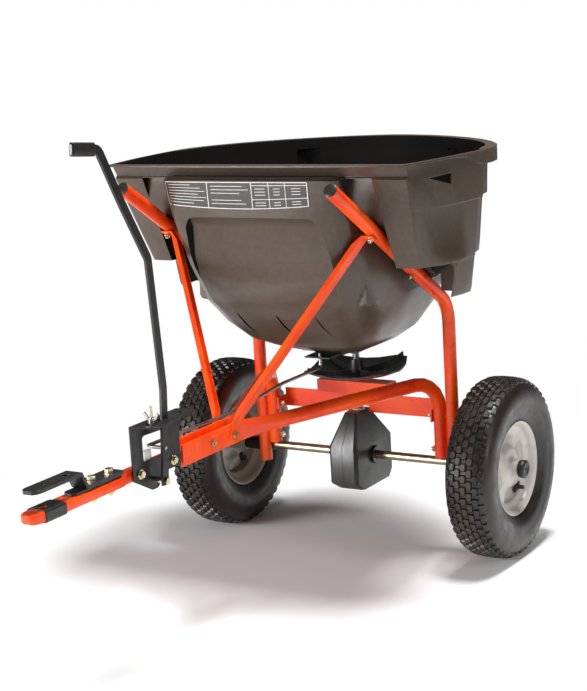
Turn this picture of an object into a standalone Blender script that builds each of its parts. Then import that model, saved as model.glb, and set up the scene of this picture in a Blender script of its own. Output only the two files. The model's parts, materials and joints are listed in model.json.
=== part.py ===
"""Tow-behind broadcast spreader: hopper, tube frame, tongue with clevis, flow control, spinner drive and two wheels.

Metres, +Z up. The tongue points along -Y. The machine stands level on its wheels. The axle is modelled over Y = 0,
and the whole is then moved along Y, so that the origin lies on the ground under the middle of the bounding box.
"""

import math

import bmesh
import bpy
from mathutils import Matrix, Vector

# Clearances
FIT = 0.0003                 # between pieces that touch
RUN = 0.0006                 # round a shaft that turns
PLAY = 0.0012                # beside a bar or a bolt that slides

# Wheels and axle
TYRE_RADIUS = 0.1650         # 13 inch pneumatic tyre
TYRE_HALF_WIDTH = 0.0450
TRACK_HALF = 0.2910
RIM_FLANGE_RADIUS = 0.0862
RIM_FLANGE_HALF = 0.0310
RIM_SEAT_RADIUS = 0.0790
RIM_WELL_RADIUS = 0.0660
RIM_SHEET = 0.0025
RIM_DISC_OFFSET = 0.0120     # the disc lies this far outboard of the wheel's middle
RIM_DISH = 0.0060            # the disc's middle stands this far further outboard
DISH_RADIUS = 0.0300
HUB_RADIUS = 0.0150
HUB_HALF_LENGTH = 0.0360
AXLE_RADIUS = 0.0080
AXLE_OVERHANG = 0.0090       # axle beyond the hub
CAP_WALL = 0.0060
CAP_END = 0.0040
STEM_RADIUS = 0.0035
STEM_ORBIT = 0.0540
STEM_LENGTH = 0.0300
STEM_ANGLE = math.radians(-53.0)
DRIVE_PIN_RADIUS = 0.0020
DRIVE_PIN_SPAN = 0.0400
DRIVE_PIN_INSET = 0.0080     # from the hub's inner end

# Support tubes
TUBE_RADIUS = 0.0120
TUBE_WALL = 0.0018
SUPPORT_X = 0.2040
SUPPORT_TOP_Y = -0.4080
SUPPORT_TOP_Z = 0.7165
SUPPORT_LEG_Y = -0.0150
SUPPORT_SLOPE = math.radians(32.6)
SUPPORT_BEND_RADIUS = 0.0600
SUPPORT_FOOT_Z = 0.1380
PLUG_DEPTH = 0.0200
PLUG_FLANGE = 0.0025

# Drawbar tubes
DRAW_RADIUS = 0.0127
DRAW_CROWN_Z = 0.3230
DRAW_FOOT_Z = 0.1765
DRAW_FRONT_Y = -0.5950
DRAW_FLAT_HEIGHT = 0.0360
DRAW_FLAT_LENGTH = 0.1760
DRAW_TAPER = 0.0700
DRAW_BEND_RADIUS = 0.0550

# Tongue and hitch
TONGUE_Z = 0.3165
TONGUE_TIP_Y = -0.9570
TONGUE_REAR_Y = -0.4350
TONGUE_RADIUS = 0.0120
TONGUE_FLAT_HEIGHT = 0.0170
TONGUE_FLAT_WIDTH = 0.0330
TONGUE_FLAT_LENGTH = 0.2080
TONGUE_TAPER = 0.0180
TONGUE_NOSE = 0.0120
SLEEVE_LENGTH = 0.0460
SLEEVE_FRONT_Y = -0.9340
SLEEVE_WALL = 0.0014
STRAP_THICKNESS = 0.0055
STRAP_WIDTH = 0.0300
STRAP_FRONT_Y = -0.9500
STRAP_REAR_Y = -0.7470
STRAP_STEP_Y = -0.8340
STRAP_STEP_RUN = 0.0120
CLEVIS_GAP = 0.0270
PIN_HOLE_RADIUS = 0.0070
PIN_HOLE_Y = -0.9200
STRAP_SLOT = 0.0100
STRAP_SLOT_Y = -0.8640
PAD_FRONT_Y = -0.8620
PAD_THICKNESS = 0.0040
PAD_WIDTH = 0.0240
PAD_CORNER = 0.0060
HITCH_BOLT_YS = (-0.8060, -0.7630)
HITCH_BOLT_RADIUS = 0.0040

# Braces and bolts
BRACE_WIDTH = 0.0175
BRACE_LIP = 0.0065
BRACE_SHEET = 0.0022
BRACE_ALONG = 0.1530         # distance of the upper brace bolt down the support tube
BRACE_FOOT_Y = -0.4530
BRACE_RISE = 0.0200          # length over which the lips rise
HOPPER_BOLT_ALONG = 0.3100
JOINT_BOLT_Y = -0.5130
BOLT_RADIUS = 0.0032

# Crossbar over the axle
CROSSBAR_Z0 = 0.2435
CROSSBAR_Z1 = 0.2790
CROSSBAR_SHEET = 0.0030
CROSSBAR_WEB_Y = 0.0090
CROSSBAR_FLANGE_DEPTH = 0.0360
CROSSBAR_FLANGE_TOP_Z = 0.2660
SADDLE_HALF = 0.0750
SADDLE_Z = 0.3080
SADDLE_DEPTH = 0.0340
SADDLE_LIP = 0.0230
SADDLE_SLANT = 0.0140
NOTCH_HALF = 0.0170          # notch in the crossbar's lower edge, over the gear housing's neck
NOTCH_RISE = 0.0120
FRAME_BOLT_UPPER_Z = 0.2550
FRAME_BOLT_LOWER_Z = 0.1915

# Vertical shaft, spinner and gear train
SHAFT_RADIUS = 0.0064
SPIGOT_RADIUS = 0.0048
SHAFT_BASE_Z = 0.1990
SHAFT_TOP_Z = 0.4400
GEAR_TEETH = 32
PINION_TEETH = 8
GEAR_TOOTH_RADIUS = 0.0400   # middle of the crown gear's teeth
GEAR_TOOTH_SPAN = 0.0100     # radial length of a tooth
GEAR_TOOTH_HEIGHT = 0.0034
GEAR_TOOTH_WIDTH = 0.0020
GEAR_MESH = 0.0016
GEAR_DISC = 0.0050
GEAR_EDGE = 0.0015
GEAR_HUB_RADIUS = 0.0140
PINION_ROOT_RADIUS = 0.0082
PINION_TIP_RADIUS = 0.0114
PINION_TOOTH_WIDTH = 0.0022
PINION_TIP_SHARE = 0.8000
BUSH_WALL = 0.0022
BUSH_FLANGE = 0.0020
BUSH_RIM = 0.0030
HOUSING_HALF_WIDTH = 0.0300
HOUSING_NECK_HALF = 0.0125
HOUSING_WALL = 0.0025
HOUSING_TOP_Z = 0.2505
HOUSING_SHOULDER_Z = 0.1910
HOUSING_LOW_Z = 0.1220
HOUSING_BOTTOM_Z = 0.1060
HOUSING_HALF_LENGTH = 0.0710
HOUSING_NECK_FRONT_Y = -0.0330
HOUSING_NECK_REAR_Y = 0.0200
HOUSING_BOTTOM_FRONT_Y = -0.0440
HOUSING_BOTTOM_REAR_Y = 0.0620
BOSS_RADIUS = 0.0170
BOSS_LENGTH = 0.0050
SPINNER_HALF_SIDE = 0.0880
SPINNER_BASE_Z = 0.3165
SPINNER_DISC = 0.0030
SPINNER_RAISE = 0.0200       # rise of the corners over the middle
SPINNER_SQUARE = 5.0
SPINNER_TURN = math.radians(60.0)
SPINNER_HUB_RADIUS = 0.0125
SPINNER_HUB_TOP_Z = 0.3480
VANE_COUNT = 4
VANE_THICKNESS = 0.0030
VANE_HEIGHT = 0.0120
AGITATOR_RADIUS = 0.0020
AGITATOR_REACH = 0.0330
AGITATOR_BEND = 0.0040
AGITATOR_Z = 0.4220

# Hopper
RIM_Z = 0.7480
RIM_CORNER_X = 0.2970
RIM_FRONT_Y = -0.3310
RIM_BOW = 0.0100             # forward bow of the rim's front at the middle
RIM_WIDE_X = 0.3240
RIM_WIDE_Y = -0.0620
RIM_BACK_Y = 0.1970
RIM_BACK_POWER = 1.65
RIM_SHEET_Z = 0.0035
RIM_CORNER_RADIUS = 0.0120
SKIRT_HEIGHT = 0.0250
SKIRT_WALL = 0.0030
HOPPER_WALL = 0.0035
BODY_OVERHANG = 0.0180       # rim beyond the body at the back
POD_OVERHANG = 0.0015        # rim beyond the pods
POD_END_Y = -0.0950
POD_END_RUN = 0.0240
SIDE_TUCK = 0.0220
BACK_TUCK = 0.0700
PILLAR_LEAN = 0.1250
WING_LEAN = 0.4500
BAND_BOTTOM_Z = 0.7245
BAND_DEPTH = 0.0070
SIDE_STEP_Z = 0.6680
SIDE_STEP = 0.0090
LEDGE_TOP_Z = 0.5900
LEDGE_Z = 0.5740
POD_LOW_Z = 0.5670
LEG_FRONT_Y = -0.1500
LEG_LOW_Z = 0.5010
LEG_INNER_X = 0.2270
LEG_WALL = 0.0040
GROOVE_OUTER_X = 0.2280
GROOVE_INNER_X = 0.1700
GROOVE_END_Y = 0.0060
FUNNEL_LOW_Z = 0.5000
FUNNEL_HALF_X = 0.1700
FUNNEL_FRONT_Y = -0.2500
FUNNEL_BACK_Y = 0.0900
BOWL_BOTTOM_Z = 0.3860
NOTCH_XS = (-0.0800, 0.0000, 0.0780)
NOTCH_WIDTH = 0.0055
NOTCH_TOP_Z = 0.4800
NOTCH_LOW_Z = 0.4330
NOTCH_DEPTH = 0.0050
NOTCH_LEAN = 0.0060
RECESS_DEPTH = 0.0170
RECESS_DRAFT = 0.4000
STRAP_HOLE = ((-0.2625, 0.7190), (-0.1990, 0.7207), (-0.2000, 0.7024))

# Outlet and gate
PLATE_THICKNESS = 0.0050
PLATE_HALF_X = 0.0560
PLATE_FRONT_Y = -0.0980
PLATE_REAR_Y = 0.0400
OUTLET_Y = -0.0450
OUTLET_HALF_X = 0.0200
OUTLET_HALF_Y = 0.0062
RAIL_WALL = 0.0030
RAIL_LIP = 0.0040
RAIL_SHEET = 0.0015
GATE_THICKNESS = 0.0025
GATE_HALF_X = 0.0260
GATE_FRONT_Y = -0.1420
GATE_HOOK_Y = -0.1300

# Flow control
BRACKET_SHEET = 0.0026
BRACKET_FRONT_Y = -0.7230
BRACKET_REAR_Y = -0.5980
BRACKET_TOP_Z = 0.3955       # upper face of the slotted flange
BRACKET_LOW_FRONT_Z = 0.3090
BRACKET_LOW_REAR_Z = 0.3050
BRACKET_LEG = 0.0150         # plate below the lever's pivot
FLANGE_OUTLINE = ((0.0590, -0.7120), (0.0590, -0.6980), (0.0540, -0.6600), (0.0540, -0.6120), (0.0480, -0.5960),
                  (0.0360, -0.5920))
SLOT_FRONT_Y = -0.7090
SLOT_REAR_Y = -0.6120
BRACKET_BOLT_YS = (-0.7050, -0.6180)
LEVER_X = 0.0316             # inner face of the lever
LEVER_THICKNESS = 0.0045
LEVER_WIDTH = 0.0145
LEVER_PIVOT_Y = -0.6695
LEVER_PIVOT_Z = 0.2990
LEVER_TRAVEL = math.radians(18.0)
LEVER_LOW_Y = -0.6610        # bends of the lever: under and over the scale plate, at the waist, at the knee
LEVER_LOW_Z = 0.3920
LEVER_FOOT_Y = -0.6570
LEVER_FOOT_Z = 0.4430
LEVER_WAIST_Y = -0.6710
LEVER_WAIST_Z = 0.6460
LEVER_KNEE_Y = -0.7265
LEVER_KNEE_Z = 0.7400
LEVER_TOP_Y = -0.7700
LEVER_TOP_Z = 0.8200
LEVER_HANDLE = 0.0580
LEVER_HANDLE_RISE = 0.0060
GRIP_WALL = 0.0028
GRIP_START = 0.0120
ROD_RADIUS = 0.0030
ROD_PIN_Y = -0.6650
ROD_PIN_Z = 0.3500
ROD_MIDDLE_Y = -0.4300
ROD_MIDDLE_Z = 0.3455
ROD_REAR_Y = -0.2600
ROD_REAR_Z = 0.3590
ROD_BEND = 0.0070
STOP_RADIUS = 0.0025
STOP_HEAD = 0.0030
STOP_HEIGHT = 0.0260
STOP_NUT_HEIGHT = 0.0090
STOP_GAP = 0.0180            # between the wing nut and the lever
WING_SPAN = 0.0280
WING_BODY = 0.0052
WING_SHEET = 0.0024
WINDOW = ((-0.6950, 0.3330), (-0.6410, 0.3330), (-0.6410, 0.3720), (-0.6950, 0.3740))
WINDOW_CORNER = 0.0060
SPACER_Y = -0.6880
SPACER_LENGTH = 0.0175
SPACER_HEIGHT = 0.0190

# Segment counts
WHEEL_STEPS = 28
RIM_STEPS = 20
SPINNER_STEPS = 20
TUBE_STEPS = 12
BOLT_STEPS = 12
BUSH_STEPS = 16

PAINT = ("orange_paint", (0.78, 0.085, 0.018), 0.33, 0.0)
BLACK_STEEL = ("black_steel", (0.018, 0.017, 0.017), 0.42, 0.1)
HOPPER_PLASTIC = ("hopper_plastic", (0.035, 0.028, 0.024), 0.45, 0.0)
BLACK_PLASTIC = ("black_plastic", (0.012, 0.012, 0.013), 0.35, 0.0)
RUBBER = ("tyre_rubber", (0.022, 0.019, 0.017), 0.72, 0.0)
RIM_PAINT = ("grey_rim", (0.42, 0.40, 0.37), 0.38, 0.3)
ZINC = ("zinc_steel", (0.62, 0.58, 0.47), 0.30, 1.0)
NYLON = ("white_nylon", (0.80, 0.78, 0.74), 0.45, 0.0)
GREY_STEEL = ("grey_steel", (0.40, 0.40, 0.41), 0.38, 0.9)

X = Vector((1.0, 0.0, 0.0))
Y = Vector((0.0, 1.0, 0.0))
Z = Vector((0.0, 0.0, 1.0))

# Places that follow from the sizes above
DRAW_X = SUPPORT_X - TUBE_RADIUS - FIT - DRAW_RADIUS
DRAW_FLAT_HALF = TUBE_WALL + 0.0008
DRAW_FRONT_X = TONGUE_RADIUS + FIT + DRAW_FLAT_HALF
FLANGE_X = DRAW_X - DRAW_RADIUS - FIT
AXLE_Z = TYRE_RADIUS
TONGUE_TOP_Z = TONGUE_Z + TONGUE_FLAT_HEIGHT / 2
LEVER_MIDDLE_X = LEVER_X + LEVER_THICKNESS / 2
BRACKET_X = TONGUE_RADIUS + FIT
PLATE_Z = BOWL_BOTTOM_Z - FIT - PLATE_THICKNESS
GATE_Z = PLATE_Z - FIT - GATE_THICKNESS
HUB_OUT_X = TRACK_HALF + HUB_HALF_LENGTH
HUB_IN_X = TRACK_HALF - HUB_HALF_LENGTH


def clear_scene():
    for item in list(bpy.data.objects):
        bpy.data.objects.remove(item, do_unlink=True)


def material(spec):
    """One Principled material for each finish."""
    name, colour, roughness, metallic = spec
    found = bpy.data.materials.get(name)
    if found:
        return found
    made = bpy.data.materials.new(name)
    made.use_nodes = True
    shader = made.node_tree.nodes["Principled BSDF"]
    shader.inputs["Base Color"].default_value = (*colour, 1.0)
    shader.inputs["Roughness"].default_value = roughness
    shader.inputs["Metallic"].default_value = metallic
    made.diffuse_color = (*colour, 1.0)
    return made


def make_pivot(name, place):
    """An empty on a joint's axis."""
    pivot = bpy.data.objects.new(name, None)
    pivot.empty_display_size = 0.04
    pivot.location = place
    bpy.context.scene.collection.objects.link(pivot)
    bpy.context.view_layer.update()
    return pivot


def make_object(name, shape, finish, parent, smooth=True):
    """A mesh object from vertices in the design's coordinates, under the empty that carries it."""
    vertices, faces = shape
    mesh = bpy.data.meshes.new(name)
    mesh.from_pydata([tuple(v) for v in vertices], [], [tuple(f) for f in faces])
    tidy = bmesh.new()
    tidy.from_mesh(mesh)
    bmesh.ops.recalc_face_normals(tidy, faces=tidy.faces)
    tidy.to_mesh(mesh)
    tidy.free()
    mesh.transform(parent.matrix_world.inverted())
    if smooth:
        mesh.shade_smooth()
        mesh.set_sharp_from_angle(angle=math.radians(35.0))
    mesh.materials.append(material(finish))
    item = bpy.data.objects.new(name, mesh)
    bpy.context.scene.collection.objects.link(item)
    item.parent = parent
    return item


def combine(target, other, operation):
    """An exact Boolean modifier. The other shape stays in the scene as a hidden guide."""
    modifier = target.modifiers.new(other.name, "BOOLEAN")
    modifier.operation = operation
    modifier.solver = "EXACT"
    modifier.object = other
    other.hide_render = True
    other.display_type = "WIRE"


def cut(target, name, shape):
    combine(target, make_object(name, shape, BLACK_STEEL, target.parent), "DIFFERENCE")


def add(target, name, shape):
    combine(target, make_object(name, shape, BLACK_STEEL, target.parent), "UNION")


def loft(rings, ends=True):
    """Skin through rings of equal length, with both ends closed, or joined end to end into a loop."""
    count = len(rings[0])
    vertices = [p for ring in rings for p in ring]
    faces = []
    for i in range(len(rings) - 1 if ends else len(rings)):
        a = i * count
        b = (i + 1) % len(rings) * count
        for j in range(count):
            k = (j + 1) % count
            faces.append((a + j, a + k, b + k, b + j))
    if ends:
        last = (len(rings) - 1) * count
        faces.append(tuple(range(count - 1, -1, -1)))
        faces.append(tuple(range(last, last + count)))
    return vertices, faces


def join(shapes):
    """Several shapes as one list of vertices and faces."""
    vertices, faces = [], []
    for more_vertices, more_faces in shapes:
        start = len(vertices)
        vertices.extend(more_vertices)
        faces.extend(tuple(start + i for i in face) for face in more_faces)
    return vertices, faces


def even_angles(count):
    return [math.tau * i / count for i in range(count)]


def across_axis(axis):
    """Two directions square to an axis."""
    side = Y if abs(axis.x) > 0.5 else X
    return side, axis.cross(side)


def turned(profile, place, axis, angles):
    """A ring turned about an axis through the place. The profile is a closed loop of (along, radius)."""
    side, up = across_axis(axis)
    rings = [[place + axis * along + (side * math.cos(angle) + up * math.sin(angle)) * radius
              for along, radius in profile] for angle in angles]
    return loft(rings, ends=False)


def spun(profile, place, axis, count):
    """A solid turned about an axis. The profile runs from one end of the axis to the other."""
    side, up = across_axis(axis)
    rings = [[place + axis * along + (side * math.cos(angle) + up * math.sin(angle)) * radius
              for angle in even_angles(count)] for along, radius in profile]
    return loft(rings)


def bar(start, end, radius, count=BOLT_STEPS):
    """A round bar between two points, also used as the tool that drills a hole."""
    return spun([(0.0, radius), ((end - start).length, radius)], start, (end - start).normalized(), count)


def drill_x(y, z, radius, low=-0.05, high=0.05):
    return bar(Vector((low, y, z)), Vector((high, y, z)), radius)


def drill_z(y, radius, low, high, count=BOLT_STEPS):
    return bar(Vector((0.0, y, low)), Vector((0.0, y, high)), radius, count)


def prism(outline, place, u, v, depth):
    """A flat outline in the directions u and v from a place, made solid along u x v."""
    normal = u.cross(v).normalized() * depth
    near = [place + u * a + v * b for a, b in outline]
    return loft([near, [p + normal for p in near]])


def block(low, high):
    x0, y0, z0 = low
    x1, y1, z1 = high
    return prism([(x0, y0), (x1, y0), (x1, y1), (x0, y1)], Z * z0, X, Y, z1 - z0)


def side_plate(outline, x, thickness):
    """A plate in the YZ plane, from x towards +X."""
    return prism(outline, X * x, Y, Z, thickness)


def round_corners(outline, radius, steps=3):
    """The outline with each corner replaced by an arc."""
    points = [Vector(p) for p in outline]
    out = []
    for i, corner in enumerate(points):
        before = (points[i - 1] - corner).normalized()
        after = (points[(i + 1) % len(points)] - corner).normalized()
        half = before.angle(after) / 2
        reach = radius / math.tan(half)
        centre = corner + (before + after).normalized() * radius / math.sin(half)
        first = corner + before * reach - centre
        last = corner + after * reach - centre
        turn = math.atan2(first.x * last.y - first.y * last.x, first.dot(last))
        out.extend(centre + Matrix.Rotation(turn * j / steps, 2) @ first for j in range(steps + 1))
    return [tuple(p) for p in out]


def rounded_path(points, radius, steps=4):
    """A path whose inner corners are arcs of one radius."""
    out = [points[0]]
    for before, corner, after in zip(points, points[1:], points[2:]):
        a = (before - corner).normalized()
        b = (after - corner).normalized()
        half = a.angle(b) / 2
        centre = corner + (a + b).normalized() * radius / math.sin(half)
        first = corner + a * radius / math.tan(half) - centre
        last = corner + b * radius / math.tan(half) - centre
        axis = first.cross(last).normalized()
        sweep = first.angle(last)
        out.extend(centre + Matrix.Rotation(sweep * i / steps, 3, axis) @ first for i in range(steps + 1))
    out.append(points[-1])
    return out


def frames_along(path, side):
    """Place, across and up at each point of a path. Across stays near the given side direction."""
    out = []
    for i, place in enumerate(path):
        along = (path[min(i + 1, len(path) - 1)] - path[max(i - 1, 0)]).normalized()
        across = (side - along * along.dot(side)).normalized()
        out.append((place, across, along.cross(across)))
    return out


def carried_frames(path, side):
    """Like frames_along, but the side direction is carried from point to point, for a path that turns anywhere."""
    out = []
    for i, place in enumerate(path):
        along = (path[min(i + 1, len(path) - 1)] - path[max(i - 1, 0)]).normalized()
        side = (side - along * along.dot(side)).normalized()
        out.append((place, side, along.cross(side)))
    return out


def oval(place, across, up, half_across, half_up, power=2.0, count=TUBE_STEPS):
    """A ring with two half sizes. A power over 2 squares it off."""
    ring = []
    for i in range(count):
        angle = math.tau * (i + 0.5) / count
        c, s = math.cos(angle), math.sin(angle)
        ring.append(place + across * math.copysign(abs(c) ** (2 / power), c) * half_across
                    + up * math.copysign(abs(s) ** (2 / power), s) * half_up)
    return ring


def hollow_tube(path, side, wall, size):
    """An open tube. size(i) gives the half sizes across and up, and the power of the ring, at path point i."""
    frames = frames_along(path, side)
    outer = [oval(*frame, *size(i)) for i, frame in enumerate(frames)]
    inner = []
    for i, frame in enumerate(frames):
        across, up, power = size(i)
        inner.append(oval(*frame, across - wall, up - wall, power))
    return loft(outer + inner[::-1], ends=False)


def round_rod(path, side, radius, count=8):
    return loft([oval(*frame, radius, radius, 2.0, count) for frame in carried_frames(path, side)])


def bolt(name, head_face, nut_face, parent, radius=BOLT_RADIUS, washer=0.0, collars=()):
    """Hexagon bolt and nut as one solid, clamped between two faces. Collars are (start, end, radius) along it."""
    along = (nut_face - head_face).normalized()
    grip = (nut_face - head_face).length
    side, up = across_axis(along)
    side = (side - along * along.dot(side)).normalized()
    up = along.cross(side)
    head = radius * 1.8
    height = radius * 1.3
    thin = 0.0012
    if washer:
        steps = [(-height - thin, head, True), (-thin, head, True), (-thin, washer, False), (0.0, washer, False)]
    else:
        steps = [(-height, head, True), (0.0, head, True)]
    steps.append((0.0, radius, False))
    for start, end, size in collars:
        steps += [(start, radius, False), (start, size, False), (end, size, False), (end, radius, False)]
    steps += [(grip, radius, False), (grip, head, True), (grip + height, head, True), (grip + height, radius, False),
              (grip + height + radius, radius * 0.9, False)]
    rings = []
    for distance, size, hexagon in steps:
        ring = []
        for i, angle in enumerate(even_angles(BOLT_STEPS)):
            reach = size * math.cos(math.pi / 6) if hexagon and i % 2 else size
            ring.append(head_face + along * distance + (side * math.cos(angle) + up * math.sin(angle)) * reach)
        rings.append(ring)
    return make_object(name, loft(rings), ZINC, parent)


def sides():
    return (("right", 1.0), ("left", -1.0))


# Support tubes

def support_direction():
    return Vector((0.0, math.cos(SUPPORT_SLOPE), -math.sin(SUPPORT_SLOPE)))


def support_normal():
    """Square to the support tube, up and back into the hopper."""
    return Vector((0.0, math.sin(SUPPORT_SLOPE), math.cos(SUPPORT_SLOPE)))


def on_support(x, distance, lift=0.0):
    start = Vector((x, SUPPORT_TOP_Y, SUPPORT_TOP_Z))
    return start + support_direction() * distance + support_normal() * lift


def support_path(x):
    run = (SUPPORT_LEG_Y - SUPPORT_TOP_Y) / math.cos(SUPPORT_SLOPE)
    return rounded_path([on_support(x, 0.0), on_support(x, run), Vector((x, SUPPORT_LEG_Y, SUPPORT_FOOT_Z))],
                        SUPPORT_BEND_RADIUS)


def cross_hole(x, y, z, radius):
    """Tool for a hole along X through one tube."""
    reach = X * (TUBE_RADIUS + DRAW_RADIUS) * 0.75
    place = Vector((x, y, z))
    return bar(place - reach, place + reach, radius)


def make_support_tubes(root):
    bolt_hole = BOLT_RADIUS + FIT
    for side, sign in sides():
        x = sign * SUPPORT_X
        shape = hollow_tube(support_path(x), X, TUBE_WALL, lambda i: (TUBE_RADIUS, TUBE_RADIUS, 2.0))
        tube = make_object(f"support_tube_{side}", shape, PAINT, root)
        reach = TUBE_RADIUS * 1.5
        drills = [bar(on_support(x, along, -reach), on_support(x, along, reach), bolt_hole)
                  for along in (BRACE_ALONG, HOPPER_BOLT_ALONG)]
        drills += [cross_hole(x, SUPPORT_LEG_Y, z, bolt_hole) for z in (FRAME_BOLT_UPPER_Z, FRAME_BOLT_LOWER_Z)]
        axle_hole = Vector((x, 0.0, AXLE_Z))
        drills.append(bar(axle_hole - X * reach, axle_hole + X * reach, AXLE_RADIUS + RUN + BUSH_WALL + FIT, BUSH_STEPS))
        cut(tube, f"cut_support_tube_{side}", join(drills))
        inner = TUBE_RADIUS - TUBE_WALL - FIT
        stations = [(-PLUG_FLANGE - FIT, TUBE_RADIUS * 0.82), (-PLUG_FLANGE * 0.5 - FIT, TUBE_RADIUS),
                    (-FIT, TUBE_RADIUS), (-FIT, inner), (PLUG_DEPTH, inner * 0.97)]
        rings = [oval(on_support(x, along), X, support_normal(), radius, radius) for along, radius in stations]
        make_object(f"tube_plug_{side}", loft(rings), BLACK_PLASTIC, root)


# Drawbar tubes and braces

def draw_path(sign):
    """From the flattened front end back and outward to the crown, then down to the axle."""
    front = Vector((sign * DRAW_FRONT_X, DRAW_FRONT_Y, TONGUE_Z))
    flat_end = front + Y * DRAW_FLAT_LENGTH
    crown = Vector((sign * DRAW_X, SUPPORT_LEG_Y, DRAW_CROWN_Z))
    foot = Vector((sign * DRAW_X, SUPPORT_LEG_Y, DRAW_FOOT_Z))
    run = (crown - flat_end).normalized()
    ahead = rounded_path([front, flat_end, flat_end + run * DRAW_TAPER], DRAW_TAPER, 3)
    behind = rounded_path([flat_end + run * DRAW_TAPER, crown, foot], DRAW_BEND_RADIUS, 5)
    return ahead + behind[1:]


def make_drawbars(root):
    bolt_hole = BOLT_RADIUS + FIT
    for side, sign in sides():
        path = draw_path(sign)

        def size(i, path=path):
            passed = sum((path[k + 1] - path[k]).length for k in range(i))
            blend = min(max((passed - DRAW_FLAT_LENGTH + DRAW_TAPER * 0.3) / DRAW_TAPER, 0.0), 1.0)
            blend = blend * blend * (3.0 - 2.0 * blend)
            across = DRAW_FLAT_HALF + (DRAW_RADIUS - DRAW_FLAT_HALF) * blend
            up = DRAW_FLAT_HEIGHT / 2 + (DRAW_RADIUS - DRAW_FLAT_HEIGHT / 2) * blend
            return across, up, 5.0 - 3.0 * blend

        tube = make_object(f"drawbar_{side}", hollow_tube(path, X, TUBE_WALL, size), PAINT, root)
        drills = []
        for y in (JOINT_BOLT_Y, BRACE_FOOT_Y):
            place = Vector((sign * DRAW_FRONT_X, y, TONGUE_Z))
            drills.append(bar(place - X * DRAW_FLAT_HALF * 3, place + X * DRAW_FLAT_HALF * 3, bolt_hole))
        drills += [cross_hole(sign * DRAW_X, SUPPORT_LEG_Y, z, bolt_hole) for z in (FRAME_BOLT_UPPER_Z, FRAME_BOLT_LOWER_Z)]
        cut(tube, f"cut_drawbar_{side}", join(drills))


def brace_line(sign):
    """Line of the folded strip: under the support tube, inward, down to the drawbar's flat and along it."""
    top = on_support(sign * SUPPORT_X, BRACE_ALONG, -TUBE_RADIUS - FIT * 2)
    foot = Vector((sign * (DRAW_FRONT_X + DRAW_FLAT_HALF + FIT * 3), BRACE_FOOT_Y, TONGUE_Z))
    down = Vector((0.0, foot.y - top.y, foot.z - top.z)).normalized()
    half = BRACE_WIDTH / 2
    fold_top = top - X * sign * (half + BRACE_SHEET * 2)
    fold_foot = foot - down * (half + BRACE_SHEET * 5)
    return down, [top + X * sign * half, fold_top, fold_foot, foot + down * half]


def brace_ring(place, across, up, lip):
    """Channel section: a flat floor outside the line, and a lip along each edge that points back across the line."""
    half = BRACE_WIDTH / 2
    inner = half - BRACE_SHEET
    outline = [(half, BRACE_SHEET), (-half, BRACE_SHEET), (-half, -lip), (-inner, -lip), (-inner, 0.0), (inner, 0.0),
               (inner, -lip), (half, -lip)]
    return [place + across * a + up * b for a, b in outline]


def make_braces(root):
    flat = FIT
    for side, sign in sides():
        down, (start, fold_top, fold_foot, end) = brace_line(sign)
        across = (support_direction() if down.z < -0.5 else Y)
        across = (across - down * across.dot(down)).normalized()
        run = (fold_foot - fold_top).normalized()
        stations = [(start, flat), (fold_top, flat), (fold_top + run * BRACE_RISE, BRACE_LIP),
                    (fold_foot - run * BRACE_RISE, BRACE_LIP), (fold_foot, flat), (end, flat)]
        frames = frames_along([place for place, _ in stations], across)
        rings = []
        for (place, wide, up), (_, lip) in zip(frames, stations):
            inward = -support_normal() if place in (start, fold_top) else X * sign
            if place == stations[2][0]:
                inward = X * sign - support_normal()
            rings.append(brace_ring(place, wide, up if up.dot(inward) > 0 else -up, lip))
        strip = make_object(f"brace_{side}", loft(rings), PAINT, root, smooth=False)
        x = sign * SUPPORT_X
        upper = bar(on_support(x, BRACE_ALONG, -TUBE_RADIUS * 2), on_support(x, BRACE_ALONG), BOLT_RADIUS + FIT)
        foot = Vector((sign * DRAW_FRONT_X, BRACE_FOOT_Y, TONGUE_Z))
        lower = bar(foot - X * DRAW_FLAT_HEIGHT / 2, foot + X * DRAW_FLAT_HEIGHT / 2, BOLT_RADIUS + FIT)
        cut(strip, f"cut_brace_{side}", join([upper, lower]))


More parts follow.
